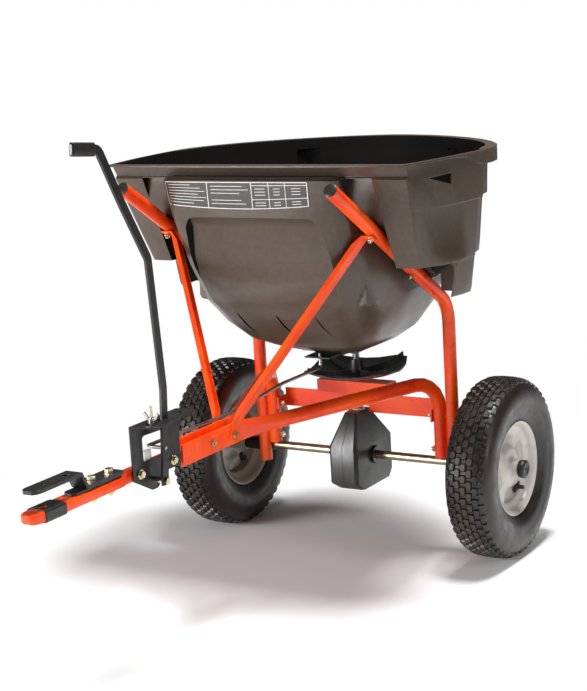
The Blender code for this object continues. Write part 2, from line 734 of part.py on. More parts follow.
def make_crossbar(root):
    """Folded sheet: a web behind the shaft, a flange against each tube, and a raised saddle for the bearing."""
    web_back = CROSSBAR_WEB_Y + CROSSBAR_SHEET
    saddle_front = web_back - SADDLE_DEPTH
    wide = SADDLE_HALF + SADDLE_SLANT
    notch = CROSSBAR_Z0 + NOTCH_RISE
    outline = [(-FLANGE_X, CROSSBAR_Z0), (-NOTCH_HALF, CROSSBAR_Z0), (-NOTCH_HALF, notch), (NOTCH_HALF, notch),
               (NOTCH_HALF, CROSSBAR_Z0), (FLANGE_X, CROSSBAR_Z0), (FLANGE_X, CROSSBAR_Z1), (wide, CROSSBAR_Z1),
               (SADDLE_HALF, SADDLE_Z), (-SADDLE_HALF, SADDLE_Z), (-wide, CROSSBAR_Z1), (-FLANGE_X, CROSSBAR_Z1)]
    sheet = make_object("crossbar", prism(outline, Y * web_back, X, Z, CROSSBAR_SHEET), PAINT, root, smooth=False)
    for side, sign in sides():
        low, high = sorted((sign * FLANGE_X, sign * (FLANGE_X - CROSSBAR_SHEET)))
        flange = block((low, web_back - CROSSBAR_FLANGE_DEPTH, CROSSBAR_Z0), (high, web_back, CROSSBAR_FLANGE_TOP_Z))
        add(sheet, f"crossbar_flange_{side}", flange)
    add(sheet, "crossbar_shelf",
        block((-SADDLE_HALF, saddle_front, SADDLE_Z - CROSSBAR_SHEET), (SADDLE_HALF, web_back, SADDLE_Z)))
    add(sheet, "crossbar_lip",
        block((-SADDLE_HALF, saddle_front, SADDLE_Z - SADDLE_LIP), (SADDLE_HALF, saddle_front + CROSSBAR_SHEET, SADDLE_Z)))
    drills = [drill_z(0.0, SHAFT_RADIUS + RUN + BUSH_WALL + FIT, SADDLE_Z - 0.02, SADDLE_Z + 0.01, BUSH_STEPS)]
    for _, sign in sides():
        place = Vector((sign * (FLANGE_X - CROSSBAR_SHEET / 2), SUPPORT_LEG_Y, FRAME_BOLT_UPPER_Z))
        drills.append(bar(place - X * CROSSBAR_SHEET * 2, place + X * CROSSBAR_SHEET * 2, BOLT_RADIUS + FIT))
    cut(sheet, "cut_crossbar", join(drills))


def make_frame_bolts(root):
    outer = SUPPORT_X + TUBE_RADIUS + FIT
    levels = (("upper", FRAME_BOLT_UPPER_Z, FLANGE_X - CROSSBAR_SHEET - FIT),
              ("lower", FRAME_BOLT_LOWER_Z, DRAW_X - DRAW_RADIUS - FIT))
    head = TUBE_RADIUS + HOPPER_WALL + FIT * 2
    for side, sign in sides():
        for level, z, inner in levels:
            bolt(f"frame_bolt_{level}_{side}", Vector((sign * outer, SUPPORT_LEG_Y, z)),
                 Vector((sign * inner, SUPPORT_LEG_Y, z)), root)
        x = sign * SUPPORT_X
        bolt(f"brace_bolt_{side}", on_support(x, BRACE_ALONG, head),
             on_support(x, BRACE_ALONG, -TUBE_RADIUS - BRACE_SHEET - FIT * 4), root)
        bolt(f"hopper_bolt_{side}", on_support(x, HOPPER_BOLT_ALONG, head),
             on_support(x, HOPPER_BOLT_ALONG, -TUBE_RADIUS - FIT), root)
    reach = DRAW_FRONT_X + DRAW_FLAT_HALF + FIT
    bolt("joint_bolt_front", Vector((reach, JOINT_BOLT_Y, TONGUE_Z)), Vector((-reach, JOINT_BOLT_Y, TONGUE_Z)), root)
    reach += BRACE_SHEET + FIT * 3
    bolt("joint_bolt_rear", Vector((reach, BRACE_FOOT_Y, TONGUE_Z)), Vector((-reach, BRACE_FOOT_Y, TONGUE_Z)), root)


# Tongue and hitch

def tongue_ring(y, half_width, half_height, power):
    return oval(Vector((0.0, y, TONGUE_Z)), X, Z, half_width, half_height, power)


def make_tongue(root):
    """Round bar, pressed flat and wide ahead of the bracket, with a rounded nose."""
    half = TONGUE_FLAT_WIDTH / 2
    tall = TONGUE_FLAT_HEIGHT / 2
    flat_end = TONGUE_TIP_Y + TONGUE_FLAT_LENGTH
    rings = [tongue_ring(TONGUE_TIP_Y, half * 0.45, tall * 0.75, 4.0),
             tongue_ring(TONGUE_TIP_Y + TONGUE_NOSE * 0.3, half * 0.82, tall * 0.95, 5.0),
             tongue_ring(TONGUE_TIP_Y + TONGUE_NOSE, half, tall, 6.0),
             tongue_ring(flat_end, half, tall, 6.0),
             tongue_ring(flat_end + TONGUE_TAPER / 2, (half + TONGUE_RADIUS) / 2, (tall + TONGUE_RADIUS) / 2, 3.0),
             tongue_ring(flat_end + TONGUE_TAPER, TONGUE_RADIUS, TONGUE_RADIUS, 2.0),
             tongue_ring(TONGUE_REAR_Y, TONGUE_RADIUS, TONGUE_RADIUS, 2.0)]
    tongue = make_object("tongue", loft(rings), PAINT, root)
    low, high = TONGUE_Z - TONGUE_FLAT_WIDTH, TONGUE_Z + TONGUE_FLAT_WIDTH
    drills = [drill_z(PIN_HOLE_Y, PIN_HOLE_RADIUS, low, high, BUSH_STEPS)]
    drills += [drill_z(y, HITCH_BOLT_RADIUS + FIT, low, high) for y in HITCH_BOLT_YS]
    drills += [drill_x(y, TONGUE_Z, BOLT_RADIUS + FIT) for y in BRACKET_BOLT_YS + (JOINT_BOLT_Y, BRACE_FOOT_Y)]
    cut(tongue, "cut_tongue", join(drills))


def make_sleeve(root):
    """Dipped sleeve over the tongue's nose, with the hitch pin's hole through it."""
    half = TONGUE_FLAT_WIDTH / 2 + FIT
    tall = TONGUE_FLAT_HEIGHT / 2 + FIT
    start = Vector((0.0, SLEEVE_FRONT_Y, TONGUE_Z))
    end = start + Y * SLEEVE_LENGTH
    outer = [oval(p, X, Z, half + SLEEVE_WALL, tall + SLEEVE_WALL, 6.0) for p in (start, end)]
    inner = [oval(p, X, Z, half, tall, 6.0) for p in (end, start)]
    sleeve = make_object("tongue_sleeve", loft(outer + inner, ends=False), BLACK_PLASTIC, root)
    cut(sleeve, "cut_tongue_sleeve",
        drill_z(PIN_HOLE_Y, PIN_HOLE_RADIUS, TONGUE_Z - TONGUE_FLAT_WIDTH, TONGUE_Z + TONGUE_FLAT_WIDTH, BUSH_STEPS))


def make_hitch(root):
    """Stepped strap over the tongue, which makes the clevis, with its pad and two bolts."""
    low = TONGUE_TOP_Z + FIT
    front_low = TONGUE_TOP_Z + CLEVIS_GAP
    seat = low + PAD_THICKNESS + FIT
    t = STRAP_THICKNESS
    step = STRAP_STEP_Y
    half = STRAP_WIDTH / 2
    outline = [(STRAP_FRONT_Y, front_low), (step - STRAP_STEP_RUN, front_low), (step, seat), (STRAP_REAR_Y, seat),
               (STRAP_REAR_Y, seat + t), (step + t / 2, seat + t), (step - STRAP_STEP_RUN + t / 2, front_low + t),
               (STRAP_FRONT_Y, front_low + t)]
    strap = make_object("hitch_strap", side_plate(outline, -half, STRAP_WIDTH), BLACK_STEEL, root, smooth=False)
    for side, sign in sides():
        nose = [(half * 1.2, -t), (half * 1.2, half * 0.8), (half, half * 0.8), (half * 0.85, half * 0.3), (half * 0.5, 0.0),
                (half * 0.5, -t)]
        corner = [(sign * x, STRAP_FRONT_Y + y) for x, y in nose]
        cut(strap, f"cut_strap_{side}", prism(corner, Z * (front_low - t), X, Y, t * 3))
    top = front_low + t * 2
    bolt_holes = [drill_z(y, HITCH_BOLT_RADIUS + FIT, low - t, top) for y in HITCH_BOLT_YS]
    slot = block((-STRAP_SLOT / 2, STRAP_SLOT_Y - STRAP_SLOT / 2, front_low - t),
                 (STRAP_SLOT / 2, STRAP_SLOT_Y + STRAP_SLOT / 2, top))
    pin_hole = drill_z(PIN_HOLE_Y, PIN_HOLE_RADIUS, front_low - t, top, BUSH_STEPS)
    cut(strap, "cut_hitch_strap", join(bolt_holes + [slot, pin_hole]))
    wide = PAD_WIDTH / 2
    pad_outline = [(-wide, PAD_FRONT_Y + PAD_CORNER), (-wide / 2, PAD_FRONT_Y), (wide / 2, PAD_FRONT_Y),
                   (wide, PAD_FRONT_Y + PAD_CORNER), (wide, STRAP_REAR_Y), (-wide, STRAP_REAR_Y)]
    pad = make_object("hitch_pad", prism(pad_outline, Z * low, X, Y, PAD_THICKNESS), BLACK_STEEL, root, smooth=False)
    cut(pad, "cut_hitch_pad", join(bolt_holes))
    for name, y in zip(("front", "rear"), HITCH_BOLT_YS):
        bolt(f"hitch_bolt_{name}", Vector((0.0, y, seat + t + FIT)),
             Vector((0.0, y, TONGUE_Z - TONGUE_FLAT_HEIGHT / 2 - FIT)), root, HITCH_BOLT_RADIUS)


# Flow control

def bracket_outline():
    """The upright plate, whose leg carries the lever's pivot bolt below the tongue."""
    foot = LEVER_PIVOT_Z - BRACKET_LEG
    inside = BRACKET_TOP_Z - BRACKET_SHEET / 2
    return [(BRACKET_FRONT_Y, inside), (BRACKET_FRONT_Y, BRACKET_LOW_FRONT_Z), (LEVER_PIVOT_Y - BRACKET_LEG / 2, foot),
            (LEVER_PIVOT_Y + BRACKET_LEG / 2, foot), (LEVER_PIVOT_Y + BRACKET_LEG * 2, BRACKET_LOW_REAR_Z),
            (BRACKET_REAR_Y, BRACKET_LOW_REAR_Z), (BRACKET_REAR_Y, inside)]


def make_bracket(root):
    """Plate on the tongue's right side, folded outward into a level flange with the slot for the lever and the stop."""
    plate = make_object("control_bracket", side_plate(bracket_outline(), BRACKET_X, BRACKET_SHEET), BLACK_STEEL, root,
                        smooth=False)
    flange = ((BRACKET_X, BRACKET_FRONT_Y),) + FLANGE_OUTLINE + ((BRACKET_X, BRACKET_REAR_Y),)
    add(plate, "bracket_flange", prism(flange, Z * (BRACKET_TOP_Z - BRACKET_SHEET), X, Y, BRACKET_SHEET))
    slot_half = LEVER_THICKNESS / 2 + PLAY
    cuts = [block((LEVER_MIDDLE_X - slot_half, SLOT_FRONT_Y, BRACKET_TOP_Z - BRACKET_SHEET * 2),
                  (LEVER_MIDDLE_X + slot_half, SLOT_REAR_Y, BRACKET_TOP_Z + BRACKET_SHEET)),
            side_plate(round_corners(WINDOW, WINDOW_CORNER), BRACKET_X - BRACKET_SHEET, BRACKET_SHEET * 3),
            drill_x(LEVER_PIVOT_Y, LEVER_PIVOT_Z, BOLT_RADIUS + FIT)]
    cuts += [drill_x(y, TONGUE_Z, BOLT_RADIUS + FIT) for y in BRACKET_BOLT_YS]
    cut(plate, "cut_bracket", join(cuts))
    outside = BRACKET_X + BRACKET_SHEET + FIT
    for name, y in zip(("front", "rear"), BRACKET_BOLT_YS):
        bolt(f"bracket_bolt_{name}", Vector((outside, y, TONGUE_Z)), Vector((-BRACKET_X, y, TONGUE_Z)), root,
             washer=BOLT_RADIUS * 2.5)
    head = LEVER_X + LEVER_THICKNESS + FIT
    collar = (LEVER_THICKNESS + FIT * 2, head - outside, BOLT_RADIUS * 1.5)
    bolt("lever_pivot_bolt", Vector((head, LEVER_PIVOT_Y, LEVER_PIVOT_Z)),
         Vector((BRACKET_X - FIT, LEVER_PIVOT_Y, LEVER_PIVOT_Z)), root, collars=(collar,))
    low_z = TONGUE_Z + TONGUE_RADIUS + FIT
    wide = TONGUE_RADIUS
    piece = block((-wide, SPACER_Y, low_z), (wide, SPACER_Y + SPACER_LENGTH, low_z + SPACER_HEIGHT))
    make_object("nylon_spacer", piece, NYLON, root, smooth=False)


def lever_line():
    """Middle line of the lever in the YZ plane, from below the pivot to the grip's end."""
    pivot = Vector((0.0, LEVER_PIVOT_Y, LEVER_PIVOT_Z))
    pin = Vector((0.0, ROD_PIN_Y, ROD_PIN_Z))
    end = pivot - (pin - pivot).normalized() * LEVER_WIDTH / 2
    bends = ((LEVER_LOW_Y, LEVER_LOW_Z), (LEVER_FOOT_Y, LEVER_FOOT_Z), (LEVER_WAIST_Y, LEVER_WAIST_Z),
             (LEVER_KNEE_Y, LEVER_KNEE_Z), (LEVER_TOP_Y, LEVER_TOP_Z),
             (LEVER_TOP_Y - LEVER_HANDLE, LEVER_TOP_Z + LEVER_HANDLE_RISE))
    return [end, pin] + [Vector((0.0, y, z)) for y, z in bends]


def make_lever(pivot):
    line = lever_line()
    rings = []
    for place, across, up in frames_along(rounded_path(line, LEVER_WIDTH, 3), X):
        corners = ((0.0, -0.5), (LEVER_THICKNESS, -0.5), (LEVER_THICKNESS, 0.5), (0.0, 0.5))
        rings.append([place + X * (LEVER_X + a) + up * b * LEVER_WIDTH for a, b in corners])
    lever = make_object("flow_lever", loft(rings), BLACK_STEEL, pivot, smooth=False)
    cut(lever, "cut_flow_lever", join([drill_x(LEVER_PIVOT_Y, LEVER_PIVOT_Z, BOLT_RADIUS + RUN),
                                       drill_x(ROD_PIN_Y, ROD_PIN_Z, ROD_RADIUS + FIT)]))
    out = (line[-1] - line[-2]).normalized()
    normal = out.cross(X)
    middle = X * LEVER_MIDDLE_X
    start = line[-2] + out * GRIP_START + middle
    end = line[-1] + out * FIT + middle
    thin, wide = LEVER_THICKNESS / 2 + FIT, LEVER_WIDTH / 2 + FIT
    shell = [(start, GRIP_WALL), (end, GRIP_WALL), (end + out * GRIP_WALL, 0.0)]
    grip = make_object("lever_grip", loft([oval(p, X, normal, thin + w, wide + w, 3.5) for p, w in shell]), BLACK_PLASTIC,
                       pivot)
    room = [[p + X * a * thin + normal * b * wide for a, b in ((-1, -1), (1, -1), (1, 1), (-1, 1))]
            for p in (start - out * GRIP_WALL, end)]
    cut(grip, "cut_lever_grip", loft(room))


def make_stop(root):
    """Bolt up through the slot ahead of the lever, with a wing nut over the flange."""
    y = LEVER_LOW_Y - LEVER_WIDTH / 2 - WING_BODY * 1.2 - STOP_GAP
    place = Vector((LEVER_MIDDLE_X, y, BRACKET_TOP_Z))
    under = -BRACKET_SHEET - FIT
    profile = [(under - STOP_HEAD, STOP_RADIUS * 1.8), (under, STOP_RADIUS * 1.8), (under, STOP_RADIUS),
               (STOP_HEIGHT, STOP_RADIUS)]
    make_object("stop_bolt", spun(profile, place, Z, BOLT_STEPS), ZINC, root)
    seat = place + Z * FIT
    body = [(0.0, WING_BODY * 1.15), (STOP_NUT_HEIGHT * 0.2, WING_BODY * 1.15), (STOP_NUT_HEIGHT, WING_BODY * 0.85)]
    nut = make_object("wing_nut", spun(body, seat, Z, BOLT_STEPS), GREY_STEEL, root)
    half = WING_SPAN / 2
    tall = STOP_NUT_HEIGHT
    for side, sign in sides():
        wing = [(WING_BODY * 0.7, tall * 0.35), (half * 0.75, tall * 0.8), (half, tall * 1.6), (half * 0.85, tall * 1.9),
                (half * 0.55, tall * 1.4), (WING_BODY * 0.7, tall * 0.9)]
        outline = [(sign * x, z) for x, z in wing]
        add(nut, f"wing_{side}", prism(outline, seat + Y * WING_SHEET / 2, X, Z, WING_SHEET))
    reach = Z * STOP_HEIGHT
    cut(nut, "cut_wing_nut", bar(seat - reach, seat + reach, STOP_RADIUS + FIT))


def make_rod(pivot):
    """From the lever's pin across to the middle, back over the tongue, and up through the gate's hole."""
    pin = Vector((0.0, ROD_PIN_Y, ROD_PIN_Z))
    middle = Vector((0.0, ROD_MIDDLE_Y, ROD_MIDDLE_Z))
    rear = Vector((0.0, ROD_REAR_Y, ROD_REAR_Z))
    hook = Vector((0.0, GATE_HOOK_Y, ROD_REAR_Z))
    front = rounded_path([pin + X * (LEVER_X + LEVER_THICKNESS + PLAY), pin, middle], ROD_BEND, 4)
    back = rounded_path([rear, hook, hook + Z * (GATE_Z + GATE_THICKNESS + PLAY * 4 - ROD_REAR_Z)], ROD_BEND, 4)
    make_object("flow_rod", round_rod(front + back, Z, ROD_RADIUS), GREY_STEEL, pivot)


def make_outlet(root, gate_parent):
    """Plate under the hopper with the outlet and two rails, and the gate that slides between the rails."""
    top = PLATE_Z + PLATE_THICKNESS
    rail = GATE_HALF_X + FIT * 2
    rail_top = GATE_Z - FIT
    half = [(rail, PLATE_Z), (rail, rail_top), (rail - RAIL_LIP, rail_top), (rail - RAIL_LIP, rail_top - RAIL_SHEET),
            (rail + RAIL_WALL, rail_top - RAIL_SHEET), (rail + RAIL_WALL, PLATE_Z), (PLATE_HALF_X, PLATE_Z),
            (PLATE_HALF_X, top)]
    outline = half + [(-x, z) for x, z in reversed(half)]
    plate = make_object("hopper_bottom_plate", prism(outline, Y * PLATE_REAR_Y, X, Z, PLATE_REAR_Y - PLATE_FRONT_Y),
                        BLACK_STEEL, root, smooth=False)
    outlet = block((-OUTLET_HALF_X, OUTLET_Y - OUTLET_HALF_Y, PLATE_Z - PLATE_THICKNESS),
                   (OUTLET_HALF_X, OUTLET_Y + OUTLET_HALF_Y, top + PLATE_THICKNESS))
    cut(plate, "cut_bottom_plate", join([outlet, drill_z(0.0, SHAFT_RADIUS + RUN, PLATE_Z - 0.01, top + 0.01, BUSH_STEPS)]))
    rear = OUTLET_Y - OUTLET_HALF_Y - PLAY
    gate = make_object("rate_gate", block((-GATE_HALF_X, GATE_FRONT_Y, GATE_Z), (GATE_HALF_X, rear, GATE_Z + GATE_THICKNESS)),
                       BLACK_STEEL, gate_parent, smooth=False)
    cut(gate, "cut_rate_gate", drill_z(GATE_HOOK_Y, ROD_RADIUS + PLAY, GATE_Z - 0.01, GATE_Z + 0.01, BUSH_STEPS))


# Drive

def make_shaft(pivot):
    shoulder = AXLE_Z + GEAR_TOOTH_RADIUS + GEAR_TOOTH_SPAN / 2 + FIT
    profile = [(SHAFT_BASE_Z, SPIGOT_RADIUS), (shoulder, SPIGOT_RADIUS), (shoulder, SHAFT_RADIUS),
               (SHAFT_TOP_Z - AGITATOR_RADIUS, SHAFT_RADIUS), (SHAFT_TOP_Z, SHAFT_RADIUS * 0.7)]
    shaft = make_object("spinner_shaft", spun(profile, Vector(), Z, BUSH_STEPS), ZINC, pivot)
    cut(shaft, "cut_spinner_shaft", drill_x(0.0, AGITATOR_Z, AGITATOR_RADIUS + FIT))
    straight = AGITATOR_REACH * 0.55
    tips = [Vector((-AGITATOR_REACH, 0.0, AGITATOR_Z + AGITATOR_BEND)), Vector((-straight, 0.0, AGITATOR_Z)),
            Vector((straight, 0.0, AGITATOR_Z)), Vector((AGITATOR_REACH, 0.0, AGITATOR_Z - AGITATOR_BEND))]
    make_object("agitator", round_rod(tips, Y, AGITATOR_RADIUS), ZINC, pivot)


def make_pinion(pivot):
    """Small gear with straight teeth on the shaft's spigot. One tooth points along +X."""
    root_half = math.asin(PINION_TOOTH_WIDTH / 2 / PINION_ROOT_RADIUS)
    tip_half = math.asin(PINION_TOOTH_WIDTH / 2 * PINION_TIP_SHARE / PINION_TIP_RADIUS)
    outline = []
    for middle in even_angles(PINION_TEETH):
        for radius, angle in ((PINION_ROOT_RADIUS, -root_half), (PINION_TIP_RADIUS, -tip_half),
                              (PINION_TIP_RADIUS, tip_half), (PINION_ROOT_RADIUS, root_half)):
            outline.append((radius * math.cos(middle + angle), radius * math.sin(middle + angle)))
    low = AXLE_Z + GEAR_TOOTH_RADIUS - GEAR_TOOTH_SPAN / 2
    gear = make_object("pinion_gear", prism(outline, Z * low, X, Y, GEAR_TOOTH_SPAN), GREY_STEEL, pivot, smooth=False)
    cut(gear, "cut_pinion_gear", drill_z(0.0, SPIGOT_RADIUS + FIT, low - 0.01, low + GEAR_TOOTH_SPAN + 0.01, BUSH_STEPS))


def make_drive_gear(pivot):
    """Crown gear on the axle. Teeth stand on the disc's inner face, and the pinion's tooth at the top lies between two."""
    face = PINION_TIP_RADIUS - GEAR_MESH + GEAR_TOOTH_HEIGHT
    inner = GEAR_TOOTH_RADIUS - GEAR_TOOTH_SPAN / 2
    outer = GEAR_TOOTH_RADIUS + GEAR_TOOTH_SPAN / 2
    edge = outer + GEAR_EDGE
    hub_end = HOUSING_HALF_WIDTH - HOUSING_WALL - PLAY
    bore = AXLE_RADIUS + FIT
    half = GEAR_TOOTH_WIDTH / 2 / GEAR_TOOTH_RADIUS
    up = math.pi / 2
    angles = []
    for tooth in even_angles(GEAR_TEETH):
        middle = up + tooth + math.pi / GEAR_TEETH
        angles += [middle - half, middle + half]
    profile = [(face, bore), (face, inner), (face, outer), (face, edge), (face + GEAR_DISC, edge),
               (face + GEAR_DISC, GEAR_HUB_RADIUS), (hub_end, GEAR_HUB_RADIUS), (hub_end, bore)]
    vertices, faces = turned(profile, Vector((0.0, 0.0, AXLE_Z)), X, angles)
    count = len(profile)
    shaped = []
    for corners in faces:
        rings = sorted({i // count for i in corners})
        columns = {i % count for i in corners}
        if columns != {1, 2} or rings[0] % 2 or rings[1] != rings[0] + 1:
            shaped.append(corners)
            continue
        start = len(vertices)
        vertices.extend(vertices[i] - X * GEAR_TOOTH_HEIGHT for i in corners)
        raised = tuple(range(start, start + 4))
        shaped.append(raised)
        for j in range(4):
            k = (j + 1) % 4
            shaped.append((corners[j], corners[k], raised[k], raised[j]))
    make_object("drive_gear", (vertices, shaped), GREY_STEEL, pivot, smooth=False)


def spinner_edge(angle):
    """Distance of the plate's edge from the shaft: a square with round corners, whose corners point along the vanes."""
    turn = angle - SPINNER_TURN - math.pi / 4
    c, s = abs(math.cos(turn)), abs(math.sin(turn))
    return SPINNER_HALF_SIDE / (c ** SPINNER_SQUARE + s ** SPINNER_SQUARE) ** (1 / SPINNER_SQUARE)


def spinner_lift(radius):
    """The plate's rise over its middle: little near the hub and most at the corners."""
    return SPINNER_RAISE * (radius / spinner_edge(SPINNER_TURN)) ** 3


def make_spinner(pivot):
    """Broadcast plate with raised corners, four vanes and a hub."""
    top, low = [], []
    for share in (0.18, 0.50, 0.75, 0.90, 1.0):
        for rings, lift in ((top, SPINNER_DISC), (low, 0.0)):
            ring = []
            for angle in even_angles(SPINNER_STEPS):
                radius = spinner_edge(angle) * share
                place = Vector((math.cos(angle), math.sin(angle), 0.0)) * radius
                ring.append(place + Z * (SPINNER_BASE_Z + lift + spinner_lift(radius)))
            rings.append(ring)
    plate = make_object("impeller", loft(top + low[::-1]), BLACK_PLASTIC, pivot)
    hub = [(SPINNER_BASE_Z - SPINNER_DISC / 3, SPINNER_HUB_RADIUS), (SPINNER_BASE_Z + VANE_HEIGHT, SPINNER_HUB_RADIUS * 1.15),
           (SPINNER_HUB_TOP_Z, SPINNER_HUB_RADIUS * 0.85)]
    add(plate, "impeller_hub", spun(hub, Vector(), Z, BUSH_STEPS))
    start = SPINNER_HUB_RADIUS * 0.75
    reach = spinner_edge(SPINNER_TURN) * 0.96
    for i in range(VANE_COUNT):
        angle = SPINNER_TURN + math.tau * i / VANE_COUNT
        out = Vector((math.cos(angle), math.sin(angle), 0.0))
        stations = [start + (reach - start) * t for t in (0.0, 0.4, 0.65, 0.85, 1.0)]
        outline = [(r, SPINNER_BASE_Z + spinner_lift(r) + SPINNER_DISC / 2) for r in stations]
        outline += [(r, SPINNER_BASE_Z + spinner_lift(r) + VANE_HEIGHT) for r in reversed(stations)]
        add(plate, f"impeller_vane_{i}", prism(outline, Z.cross(out) * VANE_THICKNESS / 2, out, Z, VANE_THICKNESS))
    cut(plate, "cut_impeller",
        drill_z(0.0, SHAFT_RADIUS + FIT, SPINNER_BASE_Z - 0.01, SPINNER_HUB_TOP_Z + 0.01, BUSH_STEPS))


def make_shaft_bushes(root):
    """Flanged bushes: one in the crossbar's saddle, one in the neck of the gear housing."""
    bore = SHAFT_RADIUS + RUN
    body = bore + BUSH_WALL
    for name, seat, depth in (("upper", SADDLE_Z, CROSSBAR_SHEET * 2), ("lower", HOUSING_TOP_Z, HOUSING_WALL * 3)):
        low = seat - depth
        rest = seat + FIT
        high = rest + BUSH_FLANGE
        profile = [(low, bore), (low, body), (rest, body), (rest, body + BUSH_RIM), (high, body + BUSH_RIM), (high, bore)]
        make_object(f"shaft_bush_{name}", turned(profile, Vector(), Z, even_angles(BUSH_STEPS)), NYLON, root)


def housing_rings(inset, gap, sign):
    """Sections of one half of the housing, from the split plane out to its side."""
    long = HOUSING_HALF_LENGTH - inset
    wide = HOUSING_HALF_WIDTH - inset
    sections = ((HOUSING_BOTTOM_Z + inset, HOUSING_BOTTOM_FRONT_Y + inset, HOUSING_BOTTOM_REAR_Y - inset, wide * 0.92),
                (HOUSING_LOW_Z, -long, long, wide), (HOUSING_SHOULDER_Z, -long, long, wide),
                (HOUSING_TOP_Z - inset, HOUSING_NECK_FRONT_Y + inset, HOUSING_NECK_REAR_Y - inset, HOUSING_NECK_HALF - inset))
    rings = []
    for z, front, rear, half in sections:
        chamfer = half * 0.2
        points = ((gap, front), (half - chamfer, front), (half, front + chamfer), (half, rear - chamfer),
                  (half - chamfer, rear), (gap, rear))
        rings.append([Vector((sign * x, y, z)) for x, y in points])
    return rings


def make_housing(root):
    """Two half shells that meet in the plane of the shaft."""
    centre = Z * AXLE_Z
    shaft_hole = drill_z(0.0, SHAFT_RADIUS + RUN + BUSH_WALL + FIT, HOUSING_TOP_Z - 0.02, HOUSING_TOP_Z + 0.01, BUSH_STEPS)
    for side, sign in sides():
        shell = make_object(f"gear_housing_{side}", loft(housing_rings(0.0, FIT / 2, sign)), BLACK_PLASTIC, root)
        inner = centre + X * sign * (HOUSING_HALF_WIDTH - HOUSING_WALL * 0.8)
        outer = centre + X * sign * (HOUSING_HALF_WIDTH + BOSS_LENGTH)
        add(shell, f"housing_boss_{side}", bar(inner, outer, BOSS_RADIUS, 20))
        cut(shell, f"housing_hollow_{side}", loft(housing_rings(HOUSING_WALL, -HOUSING_WALL, sign)))
        reach = X * sign * HOUSING_HALF_WIDTH
        cut(shell, f"housing_axle_hole_{side}", bar(centre + reach * 0.6, centre + reach * 1.6, AXLE_RADIUS + RUN, BUSH_STEPS))
        cut(shell, f"housing_shaft_hole_{side}", shaft_hole)


# Axle and wheels

def make_axle(pivot):
    end = HUB_OUT_X + AXLE_OVERHANG
    chamfer = AXLE_RADIUS * 0.15
    profile = [(-end, AXLE_RADIUS - chamfer), (-end + chamfer, AXLE_RADIUS), (end - chamfer, AXLE_RADIUS),
               (end, AXLE_RADIUS - chamfer)]
    place = Z * AXLE_Z
    axle = make_object("axle", spun(profile, place, X, BUSH_STEPS), ZINC, pivot)
    pin_place = place + X * (HUB_IN_X + DRIVE_PIN_INSET)
    reach = Z * DRIVE_PIN_SPAN / 2
    cut(axle, "cut_axle", bar(pin_place - reach, pin_place + reach, DRIVE_PIN_RADIUS + FIT))
    make_object("drive_pin", bar(pin_place - reach, pin_place + reach, DRIVE_PIN_RADIUS), GREY_STEEL, pivot)
    bore = AXLE_RADIUS + FIT
    outer = bore + CAP_WALL
    start = HUB_OUT_X + FIT * 2
    floor = end + FIT
    shell = ((start, outer), (floor + CAP_END * 0.3, outer), (floor + CAP_END, outer * 0.6))
    for side, sign in sides():
        cap = make_object(f"hub_cap_{side}", spun([(sign * along, radius) for along, radius in shell], place, X, 20),
                          BLACK_PLASTIC, pivot)
        cut(cap, f"cut_hub_cap_{side}", bar(place + X * sign * (start - CAP_END), place + X * sign * floor, bore, BUSH_STEPS))


def make_axle_bushes(root):
    """Long bush in the foot of each support tube, with a collar that runs out to the wheel's hub."""
    bore = AXLE_RADIUS + RUN
    body = bore + BUSH_WALL
    inner = SUPPORT_X - TUBE_RADIUS
    seat = SUPPORT_X + TUBE_RADIUS + FIT
    outer = HUB_IN_X - FIT * 2
    profile = ((inner, bore), (inner, body), (seat, body), (seat, body + BUSH_FLANGE), (outer, body + BUSH_FLANGE), (outer, bore))
    for side, sign in sides():
        shape = turned([(sign * along, radius) for along, radius in profile], Z * AXLE_Z, X, even_angles(BUSH_STEPS))
        make_object(f"axle_bush_{side}", shape, BLACK_STEEL, root)


def tyre_profile():
    """Section of the tyre: rounded tread, bulging side, bead between the rim's flanges, hollow inside."""
    wide = TYRE_HALF_WIDTH
    crown = TYRE_RADIUS
    bead = RIM_FLANGE_RADIUS + FIT * 4
    tall = crown - bead
    outer = [(0.0, 0.0), (0.62, 0.015), (0.88, 0.10), (0.98, 0.27), (1.0, 0.50), (0.93, 0.76)]
    side = [(wide * a, crown - tall * b) for a, b in outer]
    seat = RIM_SEAT_RADIUS + FIT * 2
    lip = RIM_FLANGE_HALF - RIM_SHEET
    side += [(lip + 0.0020, bead), (lip - FIT * 3, bead - 0.0015), (lip - 0.0032, seat), (lip - 0.0090, seat)]
    inside = [(wide - 0.0080, crown - tall * 0.52), (wide * 0.72, crown - tall * 0.16), (0.0, crown - 0.0100)]
    half = side + inside
    return half + [(-along, radius) for along, radius in reversed(half[1:-1])]


